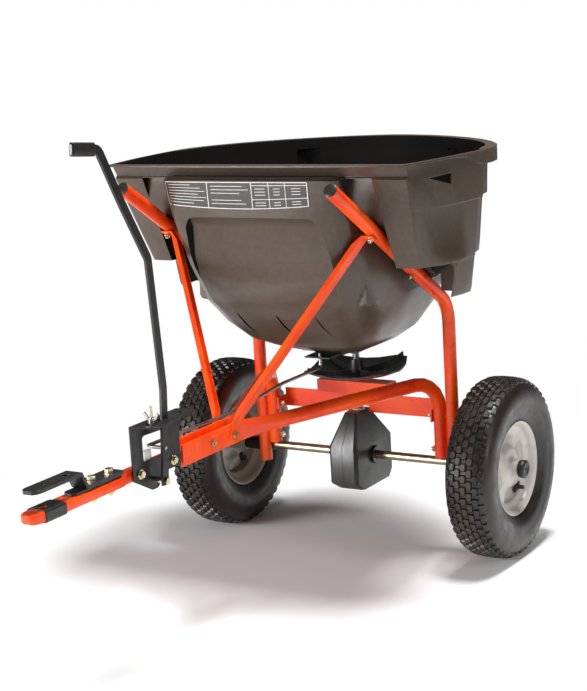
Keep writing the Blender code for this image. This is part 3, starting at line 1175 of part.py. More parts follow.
def rim_profile(sign):
    """Section of the rim in one sheet: flanges, bead seats, well, disc and hub tube."""
    t = RIM_SHEET
    flange = RIM_FLANGE_HALF
    seat = RIM_SEAT_RADIUS
    well = RIM_WELL_RADIUS
    disc = RIM_DISC_OFFSET
    out = disc + RIM_DISH
    bore = AXLE_RADIUS + FIT
    half = [(flange, RIM_FLANGE_RADIUS), (flange - t, RIM_FLANGE_RADIUS - t), (flange - t * 1.8, seat),
            (flange * 0.50, well)]
    under = [(flange * 0.50 + t * 0.4, well - t), (flange, seat - t), (flange + t * 0.6, RIM_FLANGE_RADIUS - t * 0.8)]
    top = half + [(-along, radius) for along, radius in reversed(half)]
    low_left = [(-along, radius) for along, radius in reversed(under)]
    middle = [(disc - t, well - t), (disc - t, DISH_RADIUS + RIM_DISH), (out - t, DISH_RADIUS), (out - t, HUB_RADIUS),
              (-HUB_HALF_LENGTH, HUB_RADIUS), (-HUB_HALF_LENGTH, bore), (HUB_HALF_LENGTH, bore), (HUB_HALF_LENGTH, HUB_RADIUS),
              (out, HUB_RADIUS), (out, DISH_RADIUS), (disc, DISH_RADIUS + RIM_DISH), (disc, well - t)]
    profile = top + low_left + middle + under
    return [(sign * along, radius) for along, radius in profile]


def make_wheels(pivots):
    out = Vector((0.0, math.cos(STEM_ANGLE), math.sin(STEM_ANGLE)))
    across = X.cross(out)
    slot = round_corners([(-0.0085, -0.0065), (0.0085, -0.0065), (0.0085, 0.0065), (-0.0085, 0.0065)], 0.0055)
    for side, sign in sides():
        place = Vector((sign * TRACK_HALF, 0.0, AXLE_Z))
        make_object(f"tyre_{side}", turned(tyre_profile(), place, X, even_angles(WHEEL_STEPS)), RUBBER, pivots[side])
        rim = make_object(f"rim_{side}", turned(rim_profile(sign), place, X, even_angles(RIM_STEPS)), RIM_PAINT, pivots[side])
        disc = place + X * sign * (RIM_DISC_OFFSET - RIM_SHEET / 2) + out * STEM_ORBIT
        cuts = [prism(slot, disc - out.cross(across) * RIM_SHEET, out, across, RIM_SHEET * 2)]
        if side == "right":
            pin = Vector((HUB_IN_X + DRIVE_PIN_INSET, 0.0, AXLE_Z))
            cuts.append(bar(pin - Z * DRIVE_PIN_SPAN, pin + Z * DRIVE_PIN_SPAN * 0.8, DRIVE_PIN_RADIUS + FIT))
        cut(rim, f"cut_rim_{side}", join(cuts))
        base = place + out * (RIM_WELL_RADIUS - RIM_SHEET - FIT * 4)
        bend = place + out * STEM_ORBIT
        tip = bend + X * sign * (RIM_DISC_OFFSET + STEM_LENGTH / 2)
        path = rounded_path([base, bend, tip], STEM_RADIUS * 1.2, 3)
        rings = [oval(*frame, STEM_RADIUS, STEM_RADIUS, 2.0, 10) for frame in carried_frames(path, across)]
        make_object(f"valve_stem_{side}", loft(rings), BLACK_PLASTIC, pivots[side])


# Hopper

def smooth_step(low, high, value):
    t = min(max((value - low) / (high - low), 0.0), 1.0)
    return t * t * (3.0 - 2.0 * t)


def full_ring(half):
    """A closed ring from its right half, which runs from the front's middle to the back's middle."""
    return half + [Vector((-p.x, p.y, p.z)) for p in reversed(half[1:-1])]


def side_line(y, start):
    """The rim's outer line between its front corner and its widest place."""
    share = min((RIM_WIDE_Y - y) / (RIM_WIDE_Y - start), 1.0)
    return RIM_WIDE_X - (RIM_WIDE_X - RIM_CORNER_X) * share ** 2


def tub_ring(z, front, bow, corner_x, side_inset, back_inset):
    """Horizontal section of the hopper's tub. side_inset(y) is its distance inside the rim's widest line."""
    radius = RIM_CORNER_RADIUS
    half = []
    for i in range(5):
        x = (corner_x - radius) * i / 5
        half.append(Vector((x, front - bow * (1 - (x / corner_x) ** 2), z)))
    for i in range(3):
        angle = -math.pi / 2 + math.pi / 2 * i / 2
        half.append(Vector((corner_x - radius + radius * math.cos(angle), front + radius + radius * math.sin(angle), z)))
    start = front + radius
    ys = [start + (LEG_FRONT_Y - start) * t for t in (0.12, 0.40, 0.70, 1.0)]
    ys += [POD_END_Y - POD_END_RUN, POD_END_Y, POD_END_Y + POD_END_RUN / 2, RIM_WIDE_Y]
    shift = corner_x - side_line(start, start) + side_inset(start)
    for y in ys:
        blend = 1.0 - smooth_step(start, start + radius * 3, y)
        half.append(Vector((side_line(y, start) - side_inset(y) + shift * blend, y, z)))
    wide = RIM_WIDE_X - side_inset(RIM_WIDE_Y)
    back = RIM_BACK_Y - back_inset
    for i in range(1, 10):
        angle = math.pi / 2 * i / 9
        x = wide * max(math.cos(angle), 0.0) ** (2 / RIM_BACK_POWER)
        y = RIM_WIDE_Y + (back - RIM_WIDE_Y) * math.sin(angle) ** (2 / RIM_BACK_POWER)
        half.append(Vector((x if i < 9 else 0.0, y, z)))
    return full_ring(half)


def body_ring(z, wall=0.0, panel=0.0, ledge=0.0, setback=0.0):
    """Section of the tub's body at a height, wall metres inside its outer face."""
    drop = RIM_Z - z
    share = drop / (RIM_Z - LEG_LOW_Z)
    tuck = SIDE_TUCK * share ** 2

    def side_inset(y):
        pod = 1.0 - smooth_step(POD_END_Y - POD_END_RUN / 6, POD_END_Y + POD_END_RUN, y)
        behind = smooth_step(LEG_FRONT_Y, LEG_FRONT_Y + POD_END_RUN, y)
        recess = panel * (1.0 - ledge * (1.0 - behind))
        return POD_OVERHANG + (BODY_OVERHANG - POD_OVERHANG) * (1.0 - pod) + tuck + recess + wall

    front = RIM_FRONT_Y + 0.0020 + WING_LEAN * drop + wall + setback
    return tub_ring(z, front, 0.0, RIM_CORNER_X - POD_OVERHANG - PILLAR_LEAN * drop - wall, side_inset,
                    BODY_OVERHANG + BACK_TUCK * share ** 2 + wall)


def funnel_ring(z, wall):
    """Foot of the sloping floor, hidden inside the bowl."""
    inset = RIM_WIDE_X - FUNNEL_HALF_X + wall
    return tub_ring(z, FUNNEL_FRONT_Y + wall, 0.0, FUNNEL_HALF_X - wall, lambda y: inset, RIM_BACK_Y - FUNNEL_BACK_Y + wall)


def tub_rings(wall):
    """Sections of the tub from its top down to the foot of the floor."""
    top = RIM_Z + RIM_SHEET_Z if wall else RIM_Z - RIM_SHEET_Z / 2
    return [body_ring(top, wall, setback=BAND_DEPTH), body_ring(BAND_BOTTOM_Z + 0.0030, wall, setback=BAND_DEPTH),
            body_ring(BAND_BOTTOM_Z - 0.0020, wall), body_ring(SIDE_STEP_Z, wall),
            body_ring(SIDE_STEP_Z - 0.0030, wall, SIDE_STEP), body_ring(LEDGE_TOP_Z, wall, SIDE_STEP),
            body_ring(LEDGE_Z, wall, SIDE_STEP, 1.0), body_ring(POD_LOW_Z + wall, wall, SIDE_STEP, 1.0),
            funnel_ring(FUNNEL_LOW_Z + wall, wall)]


# Sections of the bowl: height, front, half width, back, radius of the front corners
BOWL_ROWS = (
    (0.7280, -0.3270, 0.1760, 0.1400, 0.0200),
    (0.7225, -0.3385, 0.1790, 0.1400, 0.0220),
    (0.6600, -0.3345, 0.1780, 0.1400, 0.0420),
    (0.5700, -0.3130, 0.1760, 0.1300, 0.0680),
    (0.5000, -0.2770, 0.1700, 0.1100, 0.0720),
    (0.4560, -0.2410, 0.1540, 0.0900, 0.0720),
    (0.4200, -0.2010, 0.1310, 0.0660, 0.0660),
    (0.3980, -0.1540, 0.0980, 0.0480, 0.0560),
    (BOWL_BOTTOM_Z, -0.1200, 0.0680, 0.0400, 0.0400),
)


def bowl_ring(z, front, half_x, back, corner):
    rear_corner = corner + RIM_CORNER_RADIUS
    half = [Vector(((half_x - corner) * i / 3, front - 0.0020 * (1 - (i / 3) ** 2), z)) for i in range(3)]
    for i in range(5):
        angle = -math.pi / 2 + math.pi / 2 * i / 4
        half.append(Vector((half_x - corner + corner * math.cos(angle), front + corner + corner * math.sin(angle), z)))
    low, high = front + corner, back - rear_corner
    half += [Vector((half_x, low + (high - low) * i / 3, z)) for i in range(1, 3)]
    for i in range(4):
        angle = math.pi / 2 * i / 3
        half.append(Vector((half_x - rear_corner + rear_corner * math.cos(angle), high + rear_corner * math.sin(angle), z)))
    half += [Vector(((half_x - rear_corner) / 2, back, z)), Vector((0.0, back, z))]
    return full_ring(half)


def bowl_rings(wall):
    rings = []
    for z, front, half_x, back, corner in BOWL_ROWS:
        if z == BOWL_BOTTOM_Z:
            z += wall
        rings.append(bowl_ring(z, front + wall, half_x - wall, back - wall, corner))
    return rings


def bowl_front(z):
    """Y of the bowl's front face at a height."""
    for (z1, y1, *_), (z0, y0, *_) in zip(BOWL_ROWS, BOWL_ROWS[1:]):
        if z0 <= z <= z1:
            return y0 + (y1 - y0) * (z - z0) / (z1 - z0)
    return BOWL_ROWS[0][1]


def recess_tool(grow):
    """Tool that sinks the big panel of the bowl's front, with leaning sides, and fades out towards the bottom."""
    rows = ((0.6600 + grow, 0.1180, -0.0015), (0.6540 + grow, 0.1270, RECESS_DEPTH * 0.4),
            (0.6400 + grow, 0.1360, RECESS_DEPTH), (0.5900, 0.1430, RECESS_DEPTH * 0.9),
            (0.5500, 0.1430, RECESS_DEPTH * 0.7), (0.5100, 0.1360, RECESS_DEPTH * 0.4), (0.4720, 0.1150, -0.0010))
    rings = []
    for z, half, depth in rows:
        near = bowl_front(z) - 0.030
        far = bowl_front(z) + depth + grow
        outer = half + grow + 0.030 * RECESS_DRAFT
        inner = half + grow - (depth + grow) * RECESS_DRAFT
        points = ((-outer, near), (outer, near), (inner, far - 0.0015), (inner - 0.004, far), (-inner + 0.004, far),
                  (-inner, far - 0.0015))
        rings.append([Vector((x, y, z)) for x, y in points])
    return loft(rings)


def notch_tool(grow):
    """Slits low on the bowl's front, which lean with the bowl."""
    shapes = []
    top = NOTCH_TOP_Z + grow
    low = NOTCH_LOW_Z - grow
    middle = (top + low) / 2
    for x in NOTCH_XS:
        rings = []
        for z, share in ((top, 0.35), (top - 0.010, 0.8), (middle, 1.0), (low, 0.6)):
            half = (NOTCH_WIDTH / 2 + grow) * share
            across = x + NOTCH_LEAN * (middle - z) / (top - middle)
            near = bowl_front(z) - 0.020
            far = bowl_front(z) + NOTCH_DEPTH * (0.4 if share < 0.7 else 1.0) + grow
            rings.append([Vector((across + a, b, z)) for a, b in ((-half, near), (half, near), (half, far), (-half, far))])
        shapes.append(loft(rings))
    return join(shapes)


def groove_tool(sign, grow):
    """Room for a support tube: everything in front of and under the groove's floor."""
    def floor(y):
        place = on_support(0.0, (y - SUPPORT_TOP_Y) / math.cos(SUPPORT_SLOPE))
        return place.z + (TUBE_RADIUS + FIT + grow) / math.cos(SUPPORT_SLOPE)

    front = RIM_FRONT_Y - 0.040
    rear = SUPPORT_LEG_Y - TUBE_RADIUS * 2
    end = GROOVE_END_Y + grow
    outline = [(front, floor(front)), (rear, floor(rear)), (end, FUNNEL_LOW_Z - 0.045 + grow), (end, 0.300), (front, 0.300)]
    inner = GROOVE_INNER_X - grow * 1.2
    outer = GROOVE_OUTER_X + grow
    return side_plate(outline, inner if sign > 0 else -outer, outer - inner)


def pod_floor_tool(sign, grow):
    """Everything under the flat underside of a pod, ahead of its leg."""
    low, high = sorted((sign * (GROOVE_OUTER_X - RIM_CORNER_RADIUS / 2), sign * (RIM_WIDE_X + RIM_CORNER_RADIUS)))
    return block((low, RIM_FRONT_Y, FUNNEL_LOW_Z - 0.050), (high, LEG_FRONT_Y - grow, POD_LOW_Z + grow))


def pocket_tool(sign, grow):
    """Room round the front end of a support tube."""
    low, high = sorted((sign * (GROOVE_INNER_X + RIM_CORNER_RADIUS / 3), sign * (GROOVE_OUTER_X + grow)))
    return block((low, RIM_FRONT_Y - 0.040, 0.600), (high, -0.3020 + grow, BAND_BOTTOM_Z + grow / 2))


def leg_ring(z, sign, inset, front, rear, inner):
    """Section of the leg under the pod, between its front edge and its rear wall."""
    ring = body_ring(z, inset, SIDE_STEP)
    outer = sorted((p for p in ring if p.x > inner and LEG_FRONT_Y - FIT <= p.y <= POD_END_Y + POD_END_RUN * 0.6),
                   key=lambda p: p.y)
    points = [Vector((outer[0].x, front, z)), *outer[1:-1], Vector((outer[-1].x, rear, z)), Vector((inner, rear, z)),
              Vector((inner, front, z))]
    return [Vector((p.x * sign, p.y, p.z)) for p in points]


def leg_tool(sign, hollow):
    """The pod's leg, or the room inside it that is open to the front, the middle and below."""
    rear = POD_END_Y + POD_END_RUN * 0.6
    if hollow:
        front, rear, inner = LEG_FRONT_Y - LEG_WALL, rear - LEG_WALL, LEG_INNER_X - LEG_WALL
        rows = ((LEG_LOW_Z - LEG_WALL, LEG_WALL), (0.5370, LEG_WALL), (0.5560, LEG_WALL * 1.8), (0.5620, LEG_WALL * 4))
    else:
        front, inner = LEG_FRONT_Y, LEG_INNER_X
        rows = ((LEG_LOW_Z, LEG_WALL * 1.5), (LEG_LOW_Z + 0.0030, 0.0015), (LEG_LOW_Z + 0.0100, FIT), (0.5900, FIT))
    return loft([leg_ring(z, sign, inset, front, rear, inner) for z, inset in rows])


def rim_ring(z, inset):
    return tub_ring(z, RIM_FRONT_Y + inset, RIM_BOW, RIM_CORNER_X - inset, lambda y: inset, inset)


def skirt_shape():
    """Down-turned edge of the rim: full height round the back, running out along the sides."""
    def lowered(ring):
        depths = [RIM_SHEET_Z * 0.9 + (SKIRT_HEIGHT - RIM_SHEET_Z) * smooth_step(POD_END_Y * 1.8, POD_END_Y, p.y) for p in ring]
        return [Vector((p.x, p.y, RIM_Z - depth)) for p, depth in zip(ring, depths)]

    top = RIM_Z - RIM_SHEET_Z / 4
    outer, inner = rim_ring(top, FIT), rim_ring(top, SKIRT_WALL)
    return loft([outer, lowered(outer), lowered(inner), inner], ends=False)


def make_hopper(root):
    hopper = make_object("hopper", loft(tub_rings(0.0)), HOPPER_PLASTIC, root)
    cavity = make_object("hopper_cavity", loft(tub_rings(HOPPER_WALL)), HOPPER_PLASTIC, root)
    for side, sign in sides():
        cut(hopper, f"groove_{side}", groove_tool(sign, 0.0))
        cut(cavity, f"groove_backing_{side}", groove_tool(sign, HOPPER_WALL))
        cut(hopper, f"pod_floor_{side}", pod_floor_tool(sign, 0.0))
        cut(cavity, f"pod_floor_backing_{side}", pod_floor_tool(sign, HOPPER_WALL))
    add(hopper, "bowl", loft(bowl_rings(0.0)))
    add(cavity, "bowl_room", loft(bowl_rings(HOPPER_WALL)))
    for side, sign in sides():
        cut(hopper, f"tube_pocket_{side}", pocket_tool(sign, 0.0))
        cut(cavity, f"tube_pocket_backing_{side}", pocket_tool(sign, HOPPER_WALL))
        add(hopper, f"leg_{side}", leg_tool(sign, False))
        cut(hopper, f"leg_room_{side}", leg_tool(sign, True))
    cut(cavity, "panel_backing", recess_tool(HOPPER_WALL))
    cut(cavity, "notch_backing", notch_tool(HOPPER_WALL))
    lip = [(RIM_Z - RIM_SHEET_Z, 0.0), (RIM_Z - RIM_SHEET_Z / 5, 0.0), (RIM_Z, RIM_SHEET_Z / 3)]
    add(hopper, "rim_plate", loft([rim_ring(z, inset) for z, inset in lip]))
    add(hopper, "rim_skirt", skirt_shape())
    combine(hopper, cavity, "DIFFERENCE")
    cut(hopper, "panel", recess_tool(0.0))
    cut(hopper, "notches", notch_tool(0.0))
    strap_holes = [side_plate(STRAP_HOLE, sign * RIM_WIDE_X - 0.030, 0.060) for _, sign in sides()]
    deep = BOWL_BOTTOM_Z - HOPPER_WALL
    high = BOWL_BOTTOM_Z + HOPPER_WALL * 3
    drills = strap_holes + [drill_z(0.0, SHAFT_RADIUS + RUN, deep, high, BUSH_STEPS),
                            block((-OUTLET_HALF_X, OUTLET_Y - OUTLET_HALF_Y, deep), (OUTLET_HALF_X, OUTLET_Y + OUTLET_HALF_Y, high))]
    for _, sign in sides():
        for along in (BRACE_ALONG, HOPPER_BOLT_ALONG):
            x = sign * SUPPORT_X
            drills.append(bar(on_support(x, along), on_support(x, along, TUBE_RADIUS * 2.5), BOLT_RADIUS + FIT))
    cut(hopper, "cut_hopper", join(drills))


def build():
    clear_scene()
    root = make_pivot("root", (0.0, 0.0, 0.0))
    pivots = {
        "axle": make_pivot("axle_axis", (0.0, 0.0, AXLE_Z)),
        "left": make_pivot("left_wheel_axis", (-TRACK_HALF, 0.0, AXLE_Z)),
        "shaft": make_pivot("spinner_axis", (0.0, 0.0, SPINNER_BASE_Z)),
        "lever": make_pivot("lever_axis", (LEVER_X, LEVER_PIVOT_Y, LEVER_PIVOT_Z)),
        "rod": make_pivot("rod_axis", (LEVER_X, ROD_PIN_Y, ROD_PIN_Z)),
        "gate": make_pivot("gate_line", (0.0, OUTLET_Y, GATE_Z)),
    }
    for pivot in pivots.values():
        pivot.parent = root
    pivots["right"] = pivots["axle"]
    for make in (make_support_tubes, make_drawbars, make_braces, make_crossbar, make_frame_bolts, make_tongue,
                 make_sleeve, make_hitch, make_bracket, make_stop, make_shaft_bushes, make_housing, make_axle_bushes,
                 make_hopper):
        make(root)
    make_lever(pivots["lever"])
    make_rod(pivots["rod"])
    for make in (make_shaft, make_pinion, make_spinner):
        make(pivots["shaft"])
    make_drive_gear(pivots["axle"])
    make_axle(pivots["axle"])
    make_wheels(pivots)
    make_outlet(root, pivots["gate"])
    root.location.y = -(TONGUE_TIP_Y + RIM_BACK_Y) / 2
    bpy.context.view_layer.update()


build()
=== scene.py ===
"""Looks of the tow-behind broadcast spreader.

Finishes, knobby tyres, pressed rims, hub caps, valves, rate label, floor, light and camera.
"""

import json
import math

import bmesh
import bpy
from mathutils import Matrix, Vector
from mathutils.bvhtree import BVHTree


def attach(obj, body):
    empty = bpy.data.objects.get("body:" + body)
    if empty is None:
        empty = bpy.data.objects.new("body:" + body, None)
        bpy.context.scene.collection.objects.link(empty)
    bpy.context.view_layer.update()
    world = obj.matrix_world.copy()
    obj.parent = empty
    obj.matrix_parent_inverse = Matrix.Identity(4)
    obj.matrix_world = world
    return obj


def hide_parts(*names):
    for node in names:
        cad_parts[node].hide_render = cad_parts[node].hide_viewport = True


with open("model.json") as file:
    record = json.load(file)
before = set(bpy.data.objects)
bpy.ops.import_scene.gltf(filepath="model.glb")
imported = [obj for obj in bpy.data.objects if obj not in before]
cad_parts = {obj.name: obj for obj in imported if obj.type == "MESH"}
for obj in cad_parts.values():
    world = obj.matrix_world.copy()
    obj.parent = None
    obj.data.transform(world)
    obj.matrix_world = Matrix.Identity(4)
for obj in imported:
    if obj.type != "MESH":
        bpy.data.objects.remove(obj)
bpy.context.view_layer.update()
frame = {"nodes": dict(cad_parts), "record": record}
nodes = frame["nodes"]

X = Vector((1.0, 0.0, 0.0))
Y = Vector((0.0, 1.0, 0.0))

# Places on the machine, in metres
AXLE = Vector((0.0, 0.380, 0.165))
TRACK_HALF = 0.291
HOPPER_MIDDLE = (0.0, 0.300, 0.560)

# Photograph's camera
IMAGE_WIDTH = 587
FOCAL_PIXELS = 1703.53
CAMERA_AZIMUTH = math.radians(31.978)
CAMERA_ELEVATION = math.radians(11.511)
CAMERA_ROLL = math.radians(3.443)
CAMERA_DISTANCE = 3.2306
CAMERA_RIGHT = -0.1156
CAMERA_UP = 0.2105
SENSOR_WIDTH = 36.0

# Studio. The floor turns from shaded to white between the near and the far distance.
WHITE = (1.0, 1.0, 1.0, 1.0)
FLOOR_HALF = 30.0
FLOOR_TONE = (0.95, 0.95, 0.95, 1.0)
FLOOR_ROUGHNESS = 0.9
FLOOR_MIDDLE = (-0.10, 0.22, 0.0)
FLOOR_NEAR = 0.38
FLOOR_FAR = 0.90
WORLD_LIGHT = 0.12
# Name, place, target, width and height, watts
LAMPS = (
    ("key", (0.45, 0.35, 3.2), (0.0, 0.3, 0.2), (0.8, 0.8), 145.0),
    ("front", (-1.9, -2.8, 1.0), (0.0, 0.2, 0.5), (1.5, 0.9), 115.0),
    ("side", (3.2, -0.4, 1.5), (0.0, 0.3, 0.4), (0.7, 1.6), 20.0),
)

# Bands over which a finish changes. Noise has its own bands, where those of dust and grime hold
# only its peaks. The tub's inside, where shade is painted, is told by how far a face looks back at
# the tub's middle; the tyre's painted shade between blocks and painted highlight on block tops by
# radius; and the painted shade on the rim's inner half by reach from the machine's middle.
NOISE_BAND = (0.3, 0.7)
DUST_BAND = (0.50, 0.75)
GRIME_BAND = (0.52, 0.75)
FULL_BAND = (0.0, 1.0)
INSIDE_SHADE_BAND = (-0.030, -0.002)
GROOVE_SHADE_BAND = (0.1560, 0.1612)
BLOCK_TOP_HIGHLIGHT_BAND = (0.1622, 0.1642)
RIM_INNER_SHADE_BAND = (TRACK_HALF, TRACK_HALF + 0.012)
# Roughness that the tub's inside has over its outside
INSIDE_ROUGHER = 0.35

# Shading of the carried-over nodes
WELD_GAP = 0.00001
CORNER_ANGLE = math.radians(34.0)


# Materials

def colour(red, green, blue):
    """Linear colour from the 0 to 255 values of a screen."""
    out = []
    for value in (red, green, blue):
        share = value / 255.0
        out.append(share / 12.92 if share <= 0.04045 else ((share + 0.055) / 1.055) ** 2.4)
    return (*out, 1.0)


class Finish:
    """Builds one material's nodes: colour clouds, edges tinted for wear and for painted highlight,
    uneven gloss and a fine bump.
    """

    def __init__(self, name):
        self.material = bpy.data.materials.new(name)
        self.material.use_nodes = True
        self.tree = self.material.node_tree
        self.shader = self.tree.nodes["Principled BSDF"]
        self.place = self.node("TexCoord").outputs["Object"]

    def node(self, kind, **values):
        """New shader node with these properties."""
        made = self.tree.nodes.new("ShaderNode" + kind)
        for key, value in values.items():
            setattr(made, key, value)
        return made

    def link(self, start, end):
        """Joins an output to an input."""
        self.tree.links.new(start, end)

    def noise(self, scale, detail, roughness=0.55, stretch=None):
        """Noise over the object's own place, drawn out along an axis if stretch is given."""
        made = self.node("TexNoise")
        made.inputs["Scale"].default_value = scale
        made.inputs["Detail"].default_value = detail
        made.inputs["Roughness"].default_value = roughness
        if stretch:
            mapping = self.node("Mapping")
            mapping.inputs["Scale"].default_value = stretch
            self.link(self.place, mapping.inputs["Vector"])
            self.link(mapping.outputs["Vector"], made.inputs["Vector"])
        else:
            self.link(self.place, made.inputs["Vector"])
        return made.outputs["Fac"]

    def cells(self, scale):
        """Small cells, for a moulded grain."""
        made = self.node("TexVoronoi")
        made.inputs["Scale"].default_value = scale
        self.link(self.place, made.inputs["Vector"])
        return made.outputs["Distance"]

    def spread(self, value, low, high, band=NOISE_BAND):
        """Low where the value is at the band's start, high where it is at its end."""
        made = self.node("MapRange")
        for name, level in zip(("From Min", "From Max", "To Min", "To Max"), (*band, low, high)):
            made.inputs[name].default_value = level
        self.link(value, made.inputs["Value"])
        return made.outputs["Result"]

    def mixed(self, share, first, second):
        """First tint turning into the second as share grows."""
        made = self.node("Mix", data_type="RGBA")
        self.link(share, made.inputs["Factor"])
        for socket, value in ((made.inputs["A"], first), (made.inputs["B"], second)):
            if isinstance(value, tuple):
                socket.default_value = value
            else:
                self.link(value, socket)
        return made.outputs["Result"]

    def clouds(self, first, second, scale, detail=6.0):
        """Two tints in slow clouds."""
        return self.mixed(self.spread(self.noise(scale, detail), low=0.0, high=1.0), first, second)

    def maths(self, operation, first, second, clamp=False):
        """One step of arithmetic on two values, which are outputs or plain numbers."""
        made = self.node("Math", operation=operation, use_clamp=clamp)
        for socket, value in zip(made.inputs, (first, second)):
            if isinstance(value, float):
                socket.default_value = value
            else:
                self.link(value, socket)
        return made.outputs["Value"]

    def vector(self, operation, first, second=None):
        """One step of vector arithmetic. The second value is an output or a plain vector."""
        made = self.node("VectorMath", operation=operation)
        self.link(first, made.inputs[0])
        if isinstance(second, (tuple, Vector)):
            made.inputs[1].default_value = second
        elif second is not None:
            self.link(second, made.inputs[1])
        return made.outputs

    def rounded(self, radius):
        """Normal of the surface with its edges rounded off."""
        made = self.node("Bevel")
        made.inputs["Radius"].default_value = radius
        return made.outputs["Normal"]

    def edge_wear_and_highlight(self, rounded, gain, scale):
        """Share of edge tint, strong where the rounded normal leaves the true one, in patches. It
        is wear on some finishes and painted highlight on others.
        """
        true = self.node("NewGeometry").outputs["Normal"]
        alike = self.vector("DOT_PRODUCT", rounded, true)["Value"]
        bent = self.maths("SUBTRACT", 1.0, alike)
        patchy = self.spread(self.noise(scale, detail=6.0), low=0.1, high=1.4)
        return self.maths("MULTIPLY", self.maths("MULTIPLY", bent, gain), patchy, clamp=True)

    def bumped(self, heights, rounded):
        """Bumps in turn over the rounded normal. Each is (height, strength, distance)."""
        normal = rounded
        for height, strength, distance in heights:
            made = self.node("Bump")
            made.inputs["Strength"].default_value = strength
            made.inputs["Distance"].default_value = distance
            self.link(height, made.inputs["Height"])
            self.link(normal, made.inputs["Normal"])
            normal = made.outputs["Normal"]
        self.link(normal, self.shader.inputs["Normal"])

    def done(self, tint, roughness, **sockets):
        """Links tint and roughness to the shader, sets its other sockets, gives the material."""
        self.link(tint, self.shader.inputs["Base Color"])
        self.link(roughness, self.shader.inputs["Roughness"])
        for name, value in sockets.items():
            self.shader.inputs[name.replace("_", " ")].default_value = value
        return self.material


def powder_coat(name, bright, deep, edge_tint, coat):
    """Glossy paint over steel with a faint orange peel and thin edges tinted a lighter orange as
    painted highlight.
    """
    made = Finish(name)
    rounded = made.rounded(radius=0.0012)
    tint = made.clouds(bright, deep, scale=9.0, detail=5.0)
    # Painted highlight: edges are tinted a lighter orange.
    tint = made.mixed(made.edge_wear_and_highlight(rounded, gain=1.8, scale=60.0), tint, edge_tint)
    rough = made.spread(made.noise(scale=40.0, detail=6.0), low=0.24, high=0.40)
    peel = made.noise(scale=420.0, detail=2.0)
    waves = made.noise(scale=60.0, detail=3.0)
    made.bumped([(peel, 0.10, 0.0006), (waves, 0.06, 0.0015)], rounded)
    return made.done(tint, rough, Coat_Weight=coat, Coat_Roughness=0.12, Specular_IOR_Level=0.35)


def satin_black(name, bright, deep, edge_tint):
    """Satin black coat over steel with rubbed edges."""
    made = Finish(name)
    rounded = made.rounded(radius=0.0009)
    tint = made.clouds(bright, deep, scale=14.0)
    tint = made.mixed(made.edge_wear_and_highlight(rounded, gain=2.2, scale=80.0), tint, edge_tint)
    rough = made.spread(made.noise(scale=55.0, detail=5.0), low=0.30, high=0.52)
    grain = made.noise(scale=650.0, detail=2.0)
    made.bumped([(grain, 0.12, 0.0005)], rounded)
    return made.done(tint, rough, Specular_IOR_Level=0.5)


def moulded_plastic(name, bright, deep, edge, gloss, grain, rounded_by):
    """Plastic with a fine moulded grain, slow tone changes and rubbed edges."""
    made = Finish(name)
    rounded = made.rounded(rounded_by)
    tint = made.clouds(bright, deep, scale=5.0)
    fine = made.spread(made.noise(scale=90.0, detail=4.0), low=0.0, high=0.25)
    tint = made.mixed(fine, tint, edge)
    tint = made.mixed(made.edge_wear_and_highlight(rounded, gain=1.4, scale=40.0), tint, edge)
    rough = made.spread(made.noise(scale=18.0, detail=6.0), *gloss)
    waves = made.noise(scale=25.0, detail=3.0)
    made.bumped([(made.cells(grain), 0.10, 0.0005), (waves, 0.05, 0.0020)], rounded)
    return made.done(tint, rough, Specular_IOR_Level=0.5)


def hopper_moulding():
    """Satin brown-grey moulding, with painted shade that turns it near black where a face looks
    into the tub.
    """
    made = Finish("hopper_moulding")
    rounded = made.rounded(radius=0.0018)
    tint = made.clouds(colour(74, 60, 49), colour(53, 43, 35), scale=4.0)
    fine = made.spread(made.noise(scale=110.0, detail=4.0), low=0.0, high=0.22)
    tint = made.mixed(fine, tint, colour(98, 84, 72))
    # Lighter rubbed edges, partly wear and partly a painted highlight along the rim's lip.
    tint = made.mixed(made.edge_wear_and_highlight(rounded, gain=1.2, scale=40.0), tint, colour(118, 109, 100))
    geometry = made.node("NewGeometry").outputs
    arm = made.vector("SUBTRACT", geometry["Position"], HOPPER_MIDDLE)["Vector"]
    facing = made.vector("DOT_PRODUCT", arm, geometry["True Normal"])["Value"]
    # Painted shade: faces that look back into the tub turn near black.
    inside_shade = made.spread(facing, low=1.0, high=0.0, band=INSIDE_SHADE_BAND)
    tint = made.mixed(inside_shade, tint, colour(17, 15, 14))
    rough = made.spread(made.noise(scale=16.0, detail=6.0), low=0.27, high=0.40)
    rough = made.maths("ADD", rough, made.maths("MULTIPLY", inside_shade, INSIDE_ROUGHER))
    shine = made.spread(inside_shade, low=0.42, high=0.12, band=FULL_BAND)
    made.link(shine, made.shader.inputs["Specular IOR Level"])
    waves = made.noise(scale=22.0, detail=3.0)
    made.bumped([(made.cells(scale=900.0), 0.08, 0.0004), (waves, 0.05, 0.0020)], rounded)
    return made.done(tint, rough)


